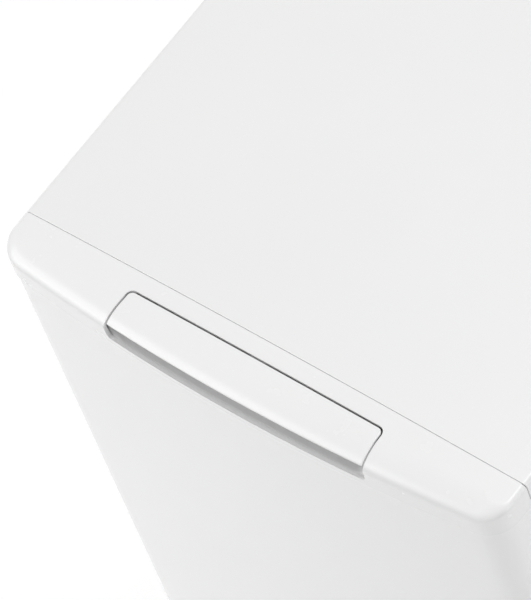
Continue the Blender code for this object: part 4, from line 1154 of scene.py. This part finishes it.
# ---- Trash container ----
# A tall box moulded in grey plastic. It stands on the carriage, tapers a little to
# leave its mould, and has a rolled rim, rounded corners and upright ribs.
low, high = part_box("trash_container")
bin_rows = []
centre = (low + high) / 2
half_size = (high - low) / 2
bin_levels = evenly(0.0, 0.94, 30) + [0.95, 0.955, 0.96, 0.985, 0.992, 0.998, 1.0]
for level in bin_levels:
    z = low.z + 0.0010 + (high.z - low.z - 0.0010) * level
    taper = 0.0045 * (1 - level)
    flare = 0.0 if level < 0.952 else 0.0022
    row = []
    for cx, cy, start in ((1, -1, -90), (1, 1, 0), (-1, 1, 90), (-1, -1, 180)):
        radius = 0.018
        inset = 0.0026 + taper - flare
        corner = (
            centre.x + cx * (half_size.x - inset - radius),
            centre.y + cy * (half_size.y - inset - radius),
        )
        row += [(x, y, z) for x, y in arc(corner, radius, start, start + 90, 8)]
        next_cx, next_cy = -cy, cx
        following = (
            centre.x + next_cx * (half_size.x - inset - radius),
            centre.y + next_cy * (half_size.y - inset - radius),
        )
        angle = math.radians(start + 90)
        outward = (math.cos(angle), math.sin(angle))
        for step in range(1, 60):
            share = step / 60
            x = corner[0] + (following[0] - corner[0]) * share + outward[0] * radius
            y = corner[1] + (following[1] - corner[1]) * share + outward[1] * radius
            ribbed = 0.04 < level < 0.92
            proud = 0.0012 * max(0.0, math.cos(2 * math.pi * share * 6)) ** 8 if ribbed else 0.0
            row.append((x + outward[0] * proud, y + outward[1] * proud, z))
    row.append(row[0])
    bin_rows.append(row)
container = curved_net(bin_rows)
bottom = [vertex for vertex in container.verts if vertex.co.z < low.z + 0.0011]
bottom.sort(key=lambda v: math.atan2(v.co.y - centre.y, v.co.x - centre.x))
container.faces.new(list(reversed(bottom)))
bmesh.ops.recalc_face_normals(container, faces=container.faces)
fit("waste_bin", container, grey, "drawer", "trash_container", wall=0.0025, edge=0.0007, sharp=60)


# ---- Drawer liner, latch and handle pin ----
# A flat enamelled liner closes the front panel from behind. Its slot lets a steel hook
# through, which a push rod under the handle's tail turns to let the drawer go.
low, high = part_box("drawer_front_liner")
liner = open_tray(Vector((low.x, -0.2746, low.z)), high, [(0, -1, 0)], 0.0030, 4)
liner = fit("inner_liner", liner, enamel, "drawer", "drawer_front_liner", wall=SHEET, edge=0.0003)
slot_block = open_tray(Vector((-0.004, -0.266, 0.781)), Vector((0.004, -0.260, 0.804)), [], 0.0015)
HOOK_Y, HOOK_Z = -0.290, 0.792
ROD_Y = -0.2715
drill(liner, [slot_block, bar(0.0019, 0.82, 0.845, (0.0, ROD_Y))])
cheek = open_tray(Vector((0.0019, -0.295, 0.786)), Vector((0.0045, -0.2632, 0.798)), [], 0.0010)
guide = open_tray(Vector((-0.005, -0.276, 0.829)), Vector((0.005, -0.2632, 0.833)), [], 0.0008)
pivot = bar(0.0020, -0.0030, 0.0040, (HOOK_Y, HOOK_Z), "X", 20)
bracket = fit("hook_bracket", gather(cheek, guide, pivot), zinc, "drawer", sharp=40)
drill(bracket, [bar(0.0019, 0.82, 0.845, (0.0, ROD_Y))])
hook_edge = arc((HOOK_Y, HOOK_Z), 0.0055, 60, 270, 18)
hook_edge += [(-0.2460, HOOK_Z - 0.0045)] + arc((-0.2457, HOOK_Z - 0.0033), 0.0012, -90, 0, 4)
hook_edge += [(-0.2445, HOOK_Z + 0.0068), (-0.2452, HOOK_Z + 0.0075), (-0.2470, HOOK_Z + 0.0075)]
hook_edge += [(-0.2500, HOOK_Z + 0.0027), (-0.2510, HOOK_Z + 0.0025)]
hook_edge += [(HOOK_Y + 0.0060, HOOK_Z + 0.0025)]
eye = arc((HOOK_Y, HOOK_Z), 0.0023, 0, 345, 23)
hook = pattern(hook_edge, [eye], [], [], lambda y, z: (0.0015, y, z))
turn_out(hook, (1, 0, 0))
fit("release_hook", hook, steel, "latch_hook", "latch_hook", wall=0.003, edge=0.0004)
low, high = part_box("latch_rod")
rod = spun(
    [(0.0, high.z), (0.0012, high.z), (0.0015, high.z - 0.0004), (0.0015, low.z + 0.0004)]
    + [(0.0012, low.z), (0.0, low.z)],
    24,
)
moved_to(rod, Matrix.Translation((0.0, ROD_Y, 0.0)))
fit("push_rod", rod, steel, "latch_rod", "latch_rod", sharp=50)
low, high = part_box("handle_pin")
pin = bar(0.0009, low.x, high.x, (PIN_Y, PIN_Z), "X", 20)
fit("hinge_pin", pin, steel, "drawer", "handle_pin", sharp=50)


def ring(section, steps):
    """A turned shape whose section is closed on itself, round a bore."""
    return spun(section + section[:1], steps)


lugs = []
for start in (-0.090, -0.015, 0.060):
    sleeve = [(0.0012, start), (0.0022, start), (0.0022, start + 0.030), (0.0012, start + 0.030)]
    lugs.append(moved_to(ring(sleeve, 24), facing((1, 0, 0), (0.0, PIN_Y, PIN_Z))))
tail = open_tray(
    Vector((-0.006, PIN_Y + 0.0015, PIN_Z - 0.0019)),
    Vector((0.006, -0.2705, PIN_Z + 0.0003)),
    [],
    0.0006,
)
fit("flap_lugs", gather(*lugs, tail), moulding, "handle", sharp=40)


# ---- Power screws, bearings and nuts ----
# Two ground steel screws with a trapezoidal thread stand beside the container. Oiled
# sintered bushes carry them top and bottom, and a moulded nut on each lifts the ram.
cast = Finish("oiled_iron", "cast_metal", (0.30, 0.31, 0.32), 0.55, 1.0)
pitting = cast.noise(520.0, 4.0)
cast.feed("Base Color", cast.shade(pitting, (0.20, 0.205, 0.21), (0.40, 0.405, 0.41)))
cast.feed("Roughness", 0.42 + 0.25 * pitting)
cast.relief(pitting, 0.00012, 0.7)

SCREW_RADIUS, JOURNAL, ROOT = 0.0095, 0.006, 0.0079
THREAD_LOW, THREAD_HIGH, LEAD = 0.0700, 0.7860, 0.012


def threaded(low, high, lead, outer, root, turns_steps=20):
    """A rod with a trapezoidal thread of the given lead, two starts."""
    pitch = lead / 2
    flank = [(0.00, root), (0.30, root), (0.44, outer), (0.86, outer)]
    shape = bmesh.new()
    starts = int(math.ceil((high - low) / pitch))
    lines = []
    for step in range(turns_steps + 1):
        angle = 2 * math.pi * step / turns_steps
        line = []
        for turn in range(-3, starts + 1):
            for share, radius in flank:
                z = low + (turn + share) * pitch + lead * step / turns_steps
                if z <= low or z >= high:
                    radius = root
                z = min(max(z, low), high)
                line.append((radius * math.cos(angle), radius * math.sin(angle), z))
        lines.append(line)
    corners = [[shape.verts.new(point) for point in line] for line in lines]
    for first, second in zip(corners, corners[1:]):
        for k in range(len(first) - 1):
            shape.faces.new((first[k], second[k], second[k + 1], first[k + 1]))
    bmesh.ops.remove_doubles(shape, verts=shape.verts, dist=0.00001)
    bmesh.ops.dissolve_degenerate(shape, dist=0.00001, edges=shape.edges)
    bmesh.ops.recalc_face_normals(shape, faces=shape.faces)
    return shape


for word, side in SIDES:
    place = Matrix.Translation((side * SCREW_X, SCREW_Y, 0.0))
    thread = threaded(THREAD_LOW, THREAD_HIGH, LEAD, SCREW_RADIUS, ROOT)
    lower_end = spun(
        [(0.0, THREAD_LOW), (ROOT, THREAD_LOW), (0.0090, 0.0692), (0.0095, 0.0688)]
        + [(0.0095, 0.0665), (JOURNAL, 0.0665), (JOURNAL, 0.0265)]
        + [(0.0055, 0.0260), (0.0, 0.0260)],
        40,
    )
    upper_end = spun(
        [(0.0, 0.8120), (0.0055, 0.8120), (JOURNAL, 0.8115), (JOURNAL, 0.7920)]
        + [(0.0090, 0.7905), (0.0095, 0.7900), (0.0095, 0.7872), (ROOT, THREAD_HIGH)]
        + [(0.0, THREAD_HIGH)],
        40,
    )
    body = "screw_" + word
    rod = moved_to(gather(thread, lower_end, upper_end), place)
    fit(word + "_screw", rod, steel, body, "power_screw_" + word, sharp=35)
    bush = [(0.0063, 0.0660), (0.0070, 0.0660), (0.0205, 0.0660), (0.0220, 0.0652)]
    bush += [(0.0220, 0.0623), (0.0150, 0.0623), (0.0150, 0.0510), (0.0142, 0.0502)]
    bush += [(0.0063, 0.0502)]
    low_bush = moved_to(ring(bush, 48), place)
    fit(word + "_low_bush", low_bush, cast, "cabinet", "lower_bearing_" + word, sharp=40)
    bush = [(0.0063, 0.8090), (0.0140, 0.8090), (0.0150, 0.8080), (0.0150, 0.7957)]
    bush += [(0.0200, 0.7957), (0.0200, 0.7938), (0.0192, 0.7930), (0.0063, 0.7930)]
    top_bush = moved_to(ring(bush, 48), place)
    fit(word + "_top_bush", top_bush, cast, "cabinet", "upper_bearing_" + word, sharp=40)
    nut = [(0.0098, 0.7815), (0.0147, 0.7818), (0.0155, 0.7810), (0.0155, 0.7765)]
    nut += [(0.0190, 0.7765), (0.0200, 0.7757), (0.0200, 0.7723), (0.0155, 0.7723)]
    nut += [(0.0155, 0.7388)]
    nut += [(0.0147, 0.7380), (0.0098, 0.7380)]
    nut_shape = moved_to(ring(nut, 48), place)
    fit(word + "_nut", nut_shape, grey, "ram", "drive_nut_" + word, sharp=40)
    ring_places = []
    for k in range(3):
        angle = 2 * math.pi * k / 3 + 0.4
        x = side * SCREW_X + 0.0177 * math.cos(angle)
        ring_places.append((x, SCREW_Y + 0.0177 * math.sin(angle), 0.7765))
    screws(word + "_nut_screws", "ram", (0, 0, 1), ring_places, 0.0016)


# ---- Belt drive ----
# The motor turns both screws through one ribbed rubber belt. Cast pulleys with low
# flanges are keyed on the shafts, and a grey pulley on a stud keeps the belt tight.
rubber = Finish("belt_rubber", "rubber", (0.022, 0.022, 0.023), 0.75)
dust = rubber.noise(140.0, 4.0)
rubber.feed("Base Color", rubber.shade(dust, (0.015, 0.015, 0.016), (0.045, 0.045, 0.046)))
rubber.feed("Roughness", 0.62 + 0.25 * dust)
rubber.relief(rubber.noise(800.0, 2.0), 0.00005, 0.6)

PULLEY_LOW, PULLEY_HIGH = 0.030, 0.042
SCREW_PULLEY, MOTOR_PULLEY, IDLER_PULLEY = 0.022, 0.014, 0.013
IDLER_X, IDLER_Y = 0.045, -0.062


def pulley(radius, bore, steps=64):
    """A pulley with grooves for a ribbed belt between two low flanges."""
    rim = radius + 0.0015
    section = [(bore, PULLEY_HIGH), (rim - 0.0004, PULLEY_HIGH), (rim, PULLEY_HIGH - 0.0004)]
    section += [(rim, PULLEY_HIGH - 0.0013), (radius, PULLEY_HIGH - 0.0018)]
    grooves = 5
    span = PULLEY_HIGH - PULLEY_LOW - 0.0036
    for index in range(grooves):
        z = PULLEY_HIGH - 0.0018 - span * (index + 0.5) / grooves
        section += [(radius - 0.0006, z), (radius, z - span / grooves / 2)]
    section += [(rim, PULLEY_LOW + 0.0013), (rim, PULLEY_LOW + 0.0004)]
    section += [(rim - 0.0004, PULLEY_LOW), (bore, PULLEY_LOW)]
    return section


for word, side in SIDES:
    section = pulley(SCREW_PULLEY, JOURNAL + 0.0003)
    web = [(0.0095, PULLEY_LOW), (0.0100, PULLEY_LOW + 0.0030), (0.0175, PULLEY_LOW + 0.0030)]
    web += [(0.0180, PULLEY_LOW)]
    section = section[:-1] + list(reversed(web)) + section[-1:]
    shape = ring(section, 64)
    moved_to(shape, Matrix.Translation((side * SCREW_X, SCREW_Y, 0.0)))
    fit(word + "_pulley", shape, cast, "screw_" + word, "screw_pulley_" + word, sharp=30)
section = [(0.0, 0.0717), (0.0045, 0.0717), (0.0050, 0.0712), (0.0050, PULLEY_HIGH)]
section += pulley(MOTOR_PULLEY, 0.0050)[1:-1] + [(0.0, PULLEY_LOW)]
shape = moved_to(spun(section, 48), Matrix.Translation((MOTOR_X, MOTOR_Y, 0.0)))
fit("shaft_pulley", shape, steel, "motor_rotor", "motor_pulley", sharp=30)
section = pulley(IDLER_PULLEY, 0.0043)
shape = moved_to(ring(section, 48), Matrix.Translation((IDLER_X, IDLER_Y, 0.0)))
fit("tension_pulley", shape, grey, "idler", "idler_pulley", sharp=30)

clear = 0.0003 + 0.0025
wheels = [
    (-SCREW_X, SCREW_Y, SCREW_PULLEY + clear),
    (IDLER_X, IDLER_Y, IDLER_PULLEY + clear),
    (SCREW_X, SCREW_Y, SCREW_PULLEY + clear),
    (MOTOR_X, MOTOR_Y, MOTOR_PULLEY + clear),
]
tangents = []
for index, (x, y, radius) in enumerate(wheels):
    next_x, next_y, next_radius = wheels[(index + 1) % len(wheels)]
    heading = math.atan2(next_y - y, next_x - x)
    span = math.hypot(next_x - x, next_y - y)
    tangents.append(heading - math.acos((radius - next_radius) / span))
loop = []
for index, (x, y, radius) in enumerate(wheels):
    start, stop = tangents[index - 1], tangents[index]
    while stop < start:
        stop += 2 * math.pi
    count = max(2, math.ceil((stop - start) / math.radians(6)))
    loop += arc((x, y), radius, math.degrees(start), math.degrees(stop), count)
smooth_loop = []
for (x1, y1), (x2, y2) in zip(loop, loop[1:] + loop[:1]):
    steps = max(1, int(math.hypot(x2 - x1, y2 - y1) / 0.006))
    smooth_loop += [(x1 + (x2 - x1) * k / steps, y1 + (y2 - y1) * k / steps) for k in range(steps)]
belt = bmesh.new()
belt_low, belt_high = PULLEY_LOW + 0.0022, PULLEY_HIGH - 0.0022
profile = [(0.0, belt_high), (0.0, belt_low), (-0.0015, belt_low)]
for index in range(4):
    step = (belt_high - belt_low) / 4
    z = belt_low + step * index
    profile += [(-0.0023, z + step * 0.3), (-0.0023, z + step * 0.7), (-0.0015, z + step)]
count = len(smooth_loop)
around = []
for index, (x, y) in enumerate(smooth_loop):
    before, after = smooth_loop[index - 1], smooth_loop[(index + 1) % count]
    run = Vector((after[0] - before[0], after[1] - before[1])).normalized()
    out = Vector((run.y, -run.x))
    around.append([belt.verts.new((x + out.x * d, y + out.y * d, z)) for d, z in profile])
for index in range(count):
    first, second = around[index], around[(index + 1) % count]
    for k in range(len(profile)):
        follow = (k + 1) % len(profile)
        belt.faces.new((first[k], second[k], second[follow], first[follow]))
bmesh.ops.recalc_face_normals(belt, faces=belt.faces)
fit("ribbed_belt", belt, rubber, "cabinet", "drive_belt", sharp=35)


# ---- Idler bracket ----
# A plated plate under the base with a slot to set the belt's tension, and its stud.
plate_high = 0.0597
plate_edge = rounded((IDLER_X, IDLER_Y + 0.013), 0.020, 0.027, 0.005)
SLOT_Y = -0.034
tension_slot = round_ended((IDLER_X - 0.004, SLOT_Y), 0.004, 0.0028, 8)
plate = pattern(plate_edge, [tension_slot], [], [], lambda x, y: (x, y, plate_high))
turn_out(plate, (0, 0, 1))
fit("tension_plate", plate, zinc, "cabinet", "idler_bracket", wall=0.003, edge=0.0005)
stud = spun(
    [(0.0, 0.0570), (0.0040, 0.0570), (0.0040, 0.0284), (0.0034, 0.0272), (0.0, 0.0272)], 28
)
moved_to(stud, Matrix.Translation((IDLER_X, IDLER_Y, 0.0)))
fit("tension_stud", stud, steel, "cabinet", sharp=40)
screws("tension_screws", "cabinet", (0, 0, -1), [(IDLER_X - 0.004, SLOT_Y, 0.0567)], 0.0036)


# ---- Motor ----
# A split-phase motor in black paint: a laminated body between two cast end bells, with painted
# shade for vent slots on the upper bell and four through bolts. It sits on a plated bridge.
paint = Finish("motor_paint", "motor_paint", (0.04, 0.04, 0.045), 0.42, Coat_Weight=0.2)
mist = paint.noise(60.0, 4.0)
paint.feed("Base Color", paint.shade(mist, (0.030, 0.030, 0.034), (0.065, 0.065, 0.070)))
paint.feed("Roughness", 0.34 + 0.2 * mist)
paint.relief(paint.noise(420.0, 3.0), 0.00008, 0.5)

low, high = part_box("motor_bracket")
bridge = open_tray(low, high, [(0, 0, -1), (-1, 0, 0), (1, 0, 0)], 0.0025, 4)
bridge = fit("motor_bridge", bridge, zinc, "cabinet", "motor_bracket", wall=0.002, edge=0.0003)
drill(bridge, [bar(0.008, 0.060, 0.080, (MOTOR_X, MOTOR_Y))])
section = [(0.0, 0.2000), (0.0205, 0.2000), (0.0220, 0.1985), (0.0220, 0.1925), (0.0300, 0.1905)]
section += [(0.0440, 0.1885), (0.0500, 0.1850), (0.0545, 0.1795), (0.0548, 0.1700)]
section += [(0.0560, 0.1695), (0.0560, 0.1665), (0.0548, 0.1660)]
for index in range(22):
    z = 0.1650 - index * 0.0026
    section += [(0.0552, z), (0.0540, z - 0.0010), (0.0552, z - 0.0020)]
section += [(0.0548, 0.1065), (0.0560, 0.1060), (0.0560, 0.1030), (0.0548, 0.1025)]
section += [(0.0545, 0.0950), (0.0490, 0.0830), (0.0400, 0.0775), (0.0300, 0.0730)]
section += [(0.0290, 0.0724), (0.0, 0.0724)]
motor = moved_to(spun(section, 72), Matrix.Translation((MOTOR_X, MOTOR_Y, 0.0)))
fit("motor_case", motor, paint, "cabinet", "drive_motor", sharp=35)
# The vent slots are not cut: black patches on the upper bell are painted shade where the open
# slots would be dark.
vent_shade_patches = []
for index in range(10):
    angle = 2 * math.pi * index / 10
    slot_low, slot_high = Vector((0.0270, -0.0030, 0.1895)), Vector((0.0420, 0.0030, 0.1906))
    slot = open_tray(slot_low, slot_high, [], 0.0005)
    turn = Matrix.Translation((MOTOR_X, MOTOR_Y, 0.0)) @ Matrix.Rotation(angle, 4, "Z")
    vent_shade_patches.append(moved_to(slot, turn))
fit("motor_vent_shade_patches", gather(*vent_shade_patches), black, "cabinet", sharp=40)
bolts = []
for index in range(4):
    angle = math.pi / 4 + math.pi / 2 * index
    x, y = MOTOR_X + 0.0495 * math.cos(angle), MOTOR_Y + 0.0495 * math.sin(angle)
    bolts.append((x, y, 0.1858))
screws("motor_bolts", "cabinet", (0, 0, 1), bolts, 0.0028)
low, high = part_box("start_capacitor")
can = [(0.0, high.z), (0.0040, high.z), (0.0045, high.z - 0.004), (0.0150, high.z - 0.0045)]
can += [(0.0168, high.z - 0.0040), (0.0180, high.z - 0.0052), (0.0176, high.z - 0.0080)]
can += [(0.0178, low.z + 0.003), (0.0170, low.z), (0.0, low.z)]
can_shape = moved_to(spun(can, 40), Matrix.Translation((0.105, 0.235, 0.0)))
fit("capacitor_can", can_shape, grey, "cabinet", "start_capacitor", sharp=40)


# ---- Switches and cord gland ----
# Black moulded snap switches: one stops the ram at the top, one proves the drawer shut.
# The gland is a black grommet that the mains lead would pass through.
def switch(name, node, screw_axis):
    low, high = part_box(node)
    body = open_tray(low, high, [], 0.0010)
    fit(name, body, black, "cabinet", node, sharp=40)
    centre = (low + high) / 2
    axis = Vector(screw_axis)
    half = abs((high - low).dot(axis)) / 2
    longest = max(range(3), key=lambda k: (high - low)[k])
    heads = []
    for side in (-1, 1):
        place = centre + axis * (half - 0.0004)
        place[longest] += side * (high - low)[longest] * 0.30
        head = spun([(0.0, 0.0004), (0.0014, 0.0004), (0.0016, 0.0), (0.0, 0.0)], 16)
        heads.append(moved_to(head, facing(axis, place)))
    fit(name + "_rivets", gather(*heads), steel, "cabinet", sharp=40)


switch("upper_switch", "top_limit_switch", (0, -1, 0))
switch("shut_switch", "drawer_switch", (1, 0, 0))
gland = [(0.0042, 0.0040), (0.0105, 0.0040), (0.0120, 0.0032), (0.0125, 0.0020), (0.0125, 0.0003)]
gland += [(0.0080, 0.0003), (0.0080, -0.0050), (0.0072, -0.0060), (0.0042, -0.0060)]
grommet = moved_to(ring(gland, 48), facing((0, 1, 0), (GLAND_X, BACK_FACE, GLAND_Z)))
fit("grommet", grommet, black, "cabinet", "cord_gland", sharp=40)


# ---- Ram ----
# A thick steel pressing plate is bolted under a folded plunger box. The box hangs from
# a hollow beam whose two ends ride the nuts of the power screws.
low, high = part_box("ram_plate")
plate_edge = rounded((0.0, (low.y + high.y) / 2), high.x, (high.y - low.y) / 2, 0.012)
plate_columns, plate_rows = evenly(low.x, high.x, 40), evenly(low.y, high.y, 52)


def on_plate(x, y):
    """The plate's face, with a shallow dished field inside its border."""
    inset = min(high.x - abs(x), y - low.y, high.y - y)
    share = min(max((inset - 0.010) / 0.004, 0.0), 1.0)
    return (x, y, low.z + 0.0008 * share)


face_plate = pattern(plate_edge, [], plate_columns, plate_rows, on_plate)
turn_out(face_plate, (0, 0, -1))
fit("press_plate", face_plate, steel, "ram", "ram_plate", wall=0.0112, edge=0.0012)
low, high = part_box("ram_plunger")
box = open_tray(low, high, [(0, 0, 1)], 0.0060, 5)
fit("plunger_box", box, zinc, "ram", "ram_plunger", wall=0.002, edge=0.0003)
places = []
for side in (-1, 1):
    places += [(side * 0.0980, y, low.z + 0.014) for y in (-0.150, -0.050, 0.050)]
left_places = [place for place in places if place[0] < 0]
right_places = [place for place in places if place[0] > 0]
screws("plunger_bolts_left", "ram", (-1, 0, 0), left_places, 0.0048)
screws("plunger_bolts_right", "ram", (1, 0, 0), right_places, 0.0048)
front_places = [(x, low.y, low.z + 0.014) for x in (-0.060, 0.0, 0.060)]
screws("plunger_bolts_front", "ram", (0, -1, 0), front_places, 0.0048)
low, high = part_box("ram_crossbeam")
beam = open_tray(low, high, [], 0.0040, 4)
beam = fit("lift_beam", beam, zinc, "ram", "ram_crossbeam", edge=0.0004)
drill(beam, [bar(0.0158, 0.73, 0.79, (side * SCREW_X, SCREW_Y)) for side in (-1, 1)])
beam_places = [(x, SCREW_Y, high.z) for x in (-0.080, -0.030, 0.030, 0.080)]
screws("beam_bolts", "ram", (0, 0, 1), beam_places, 0.0030)
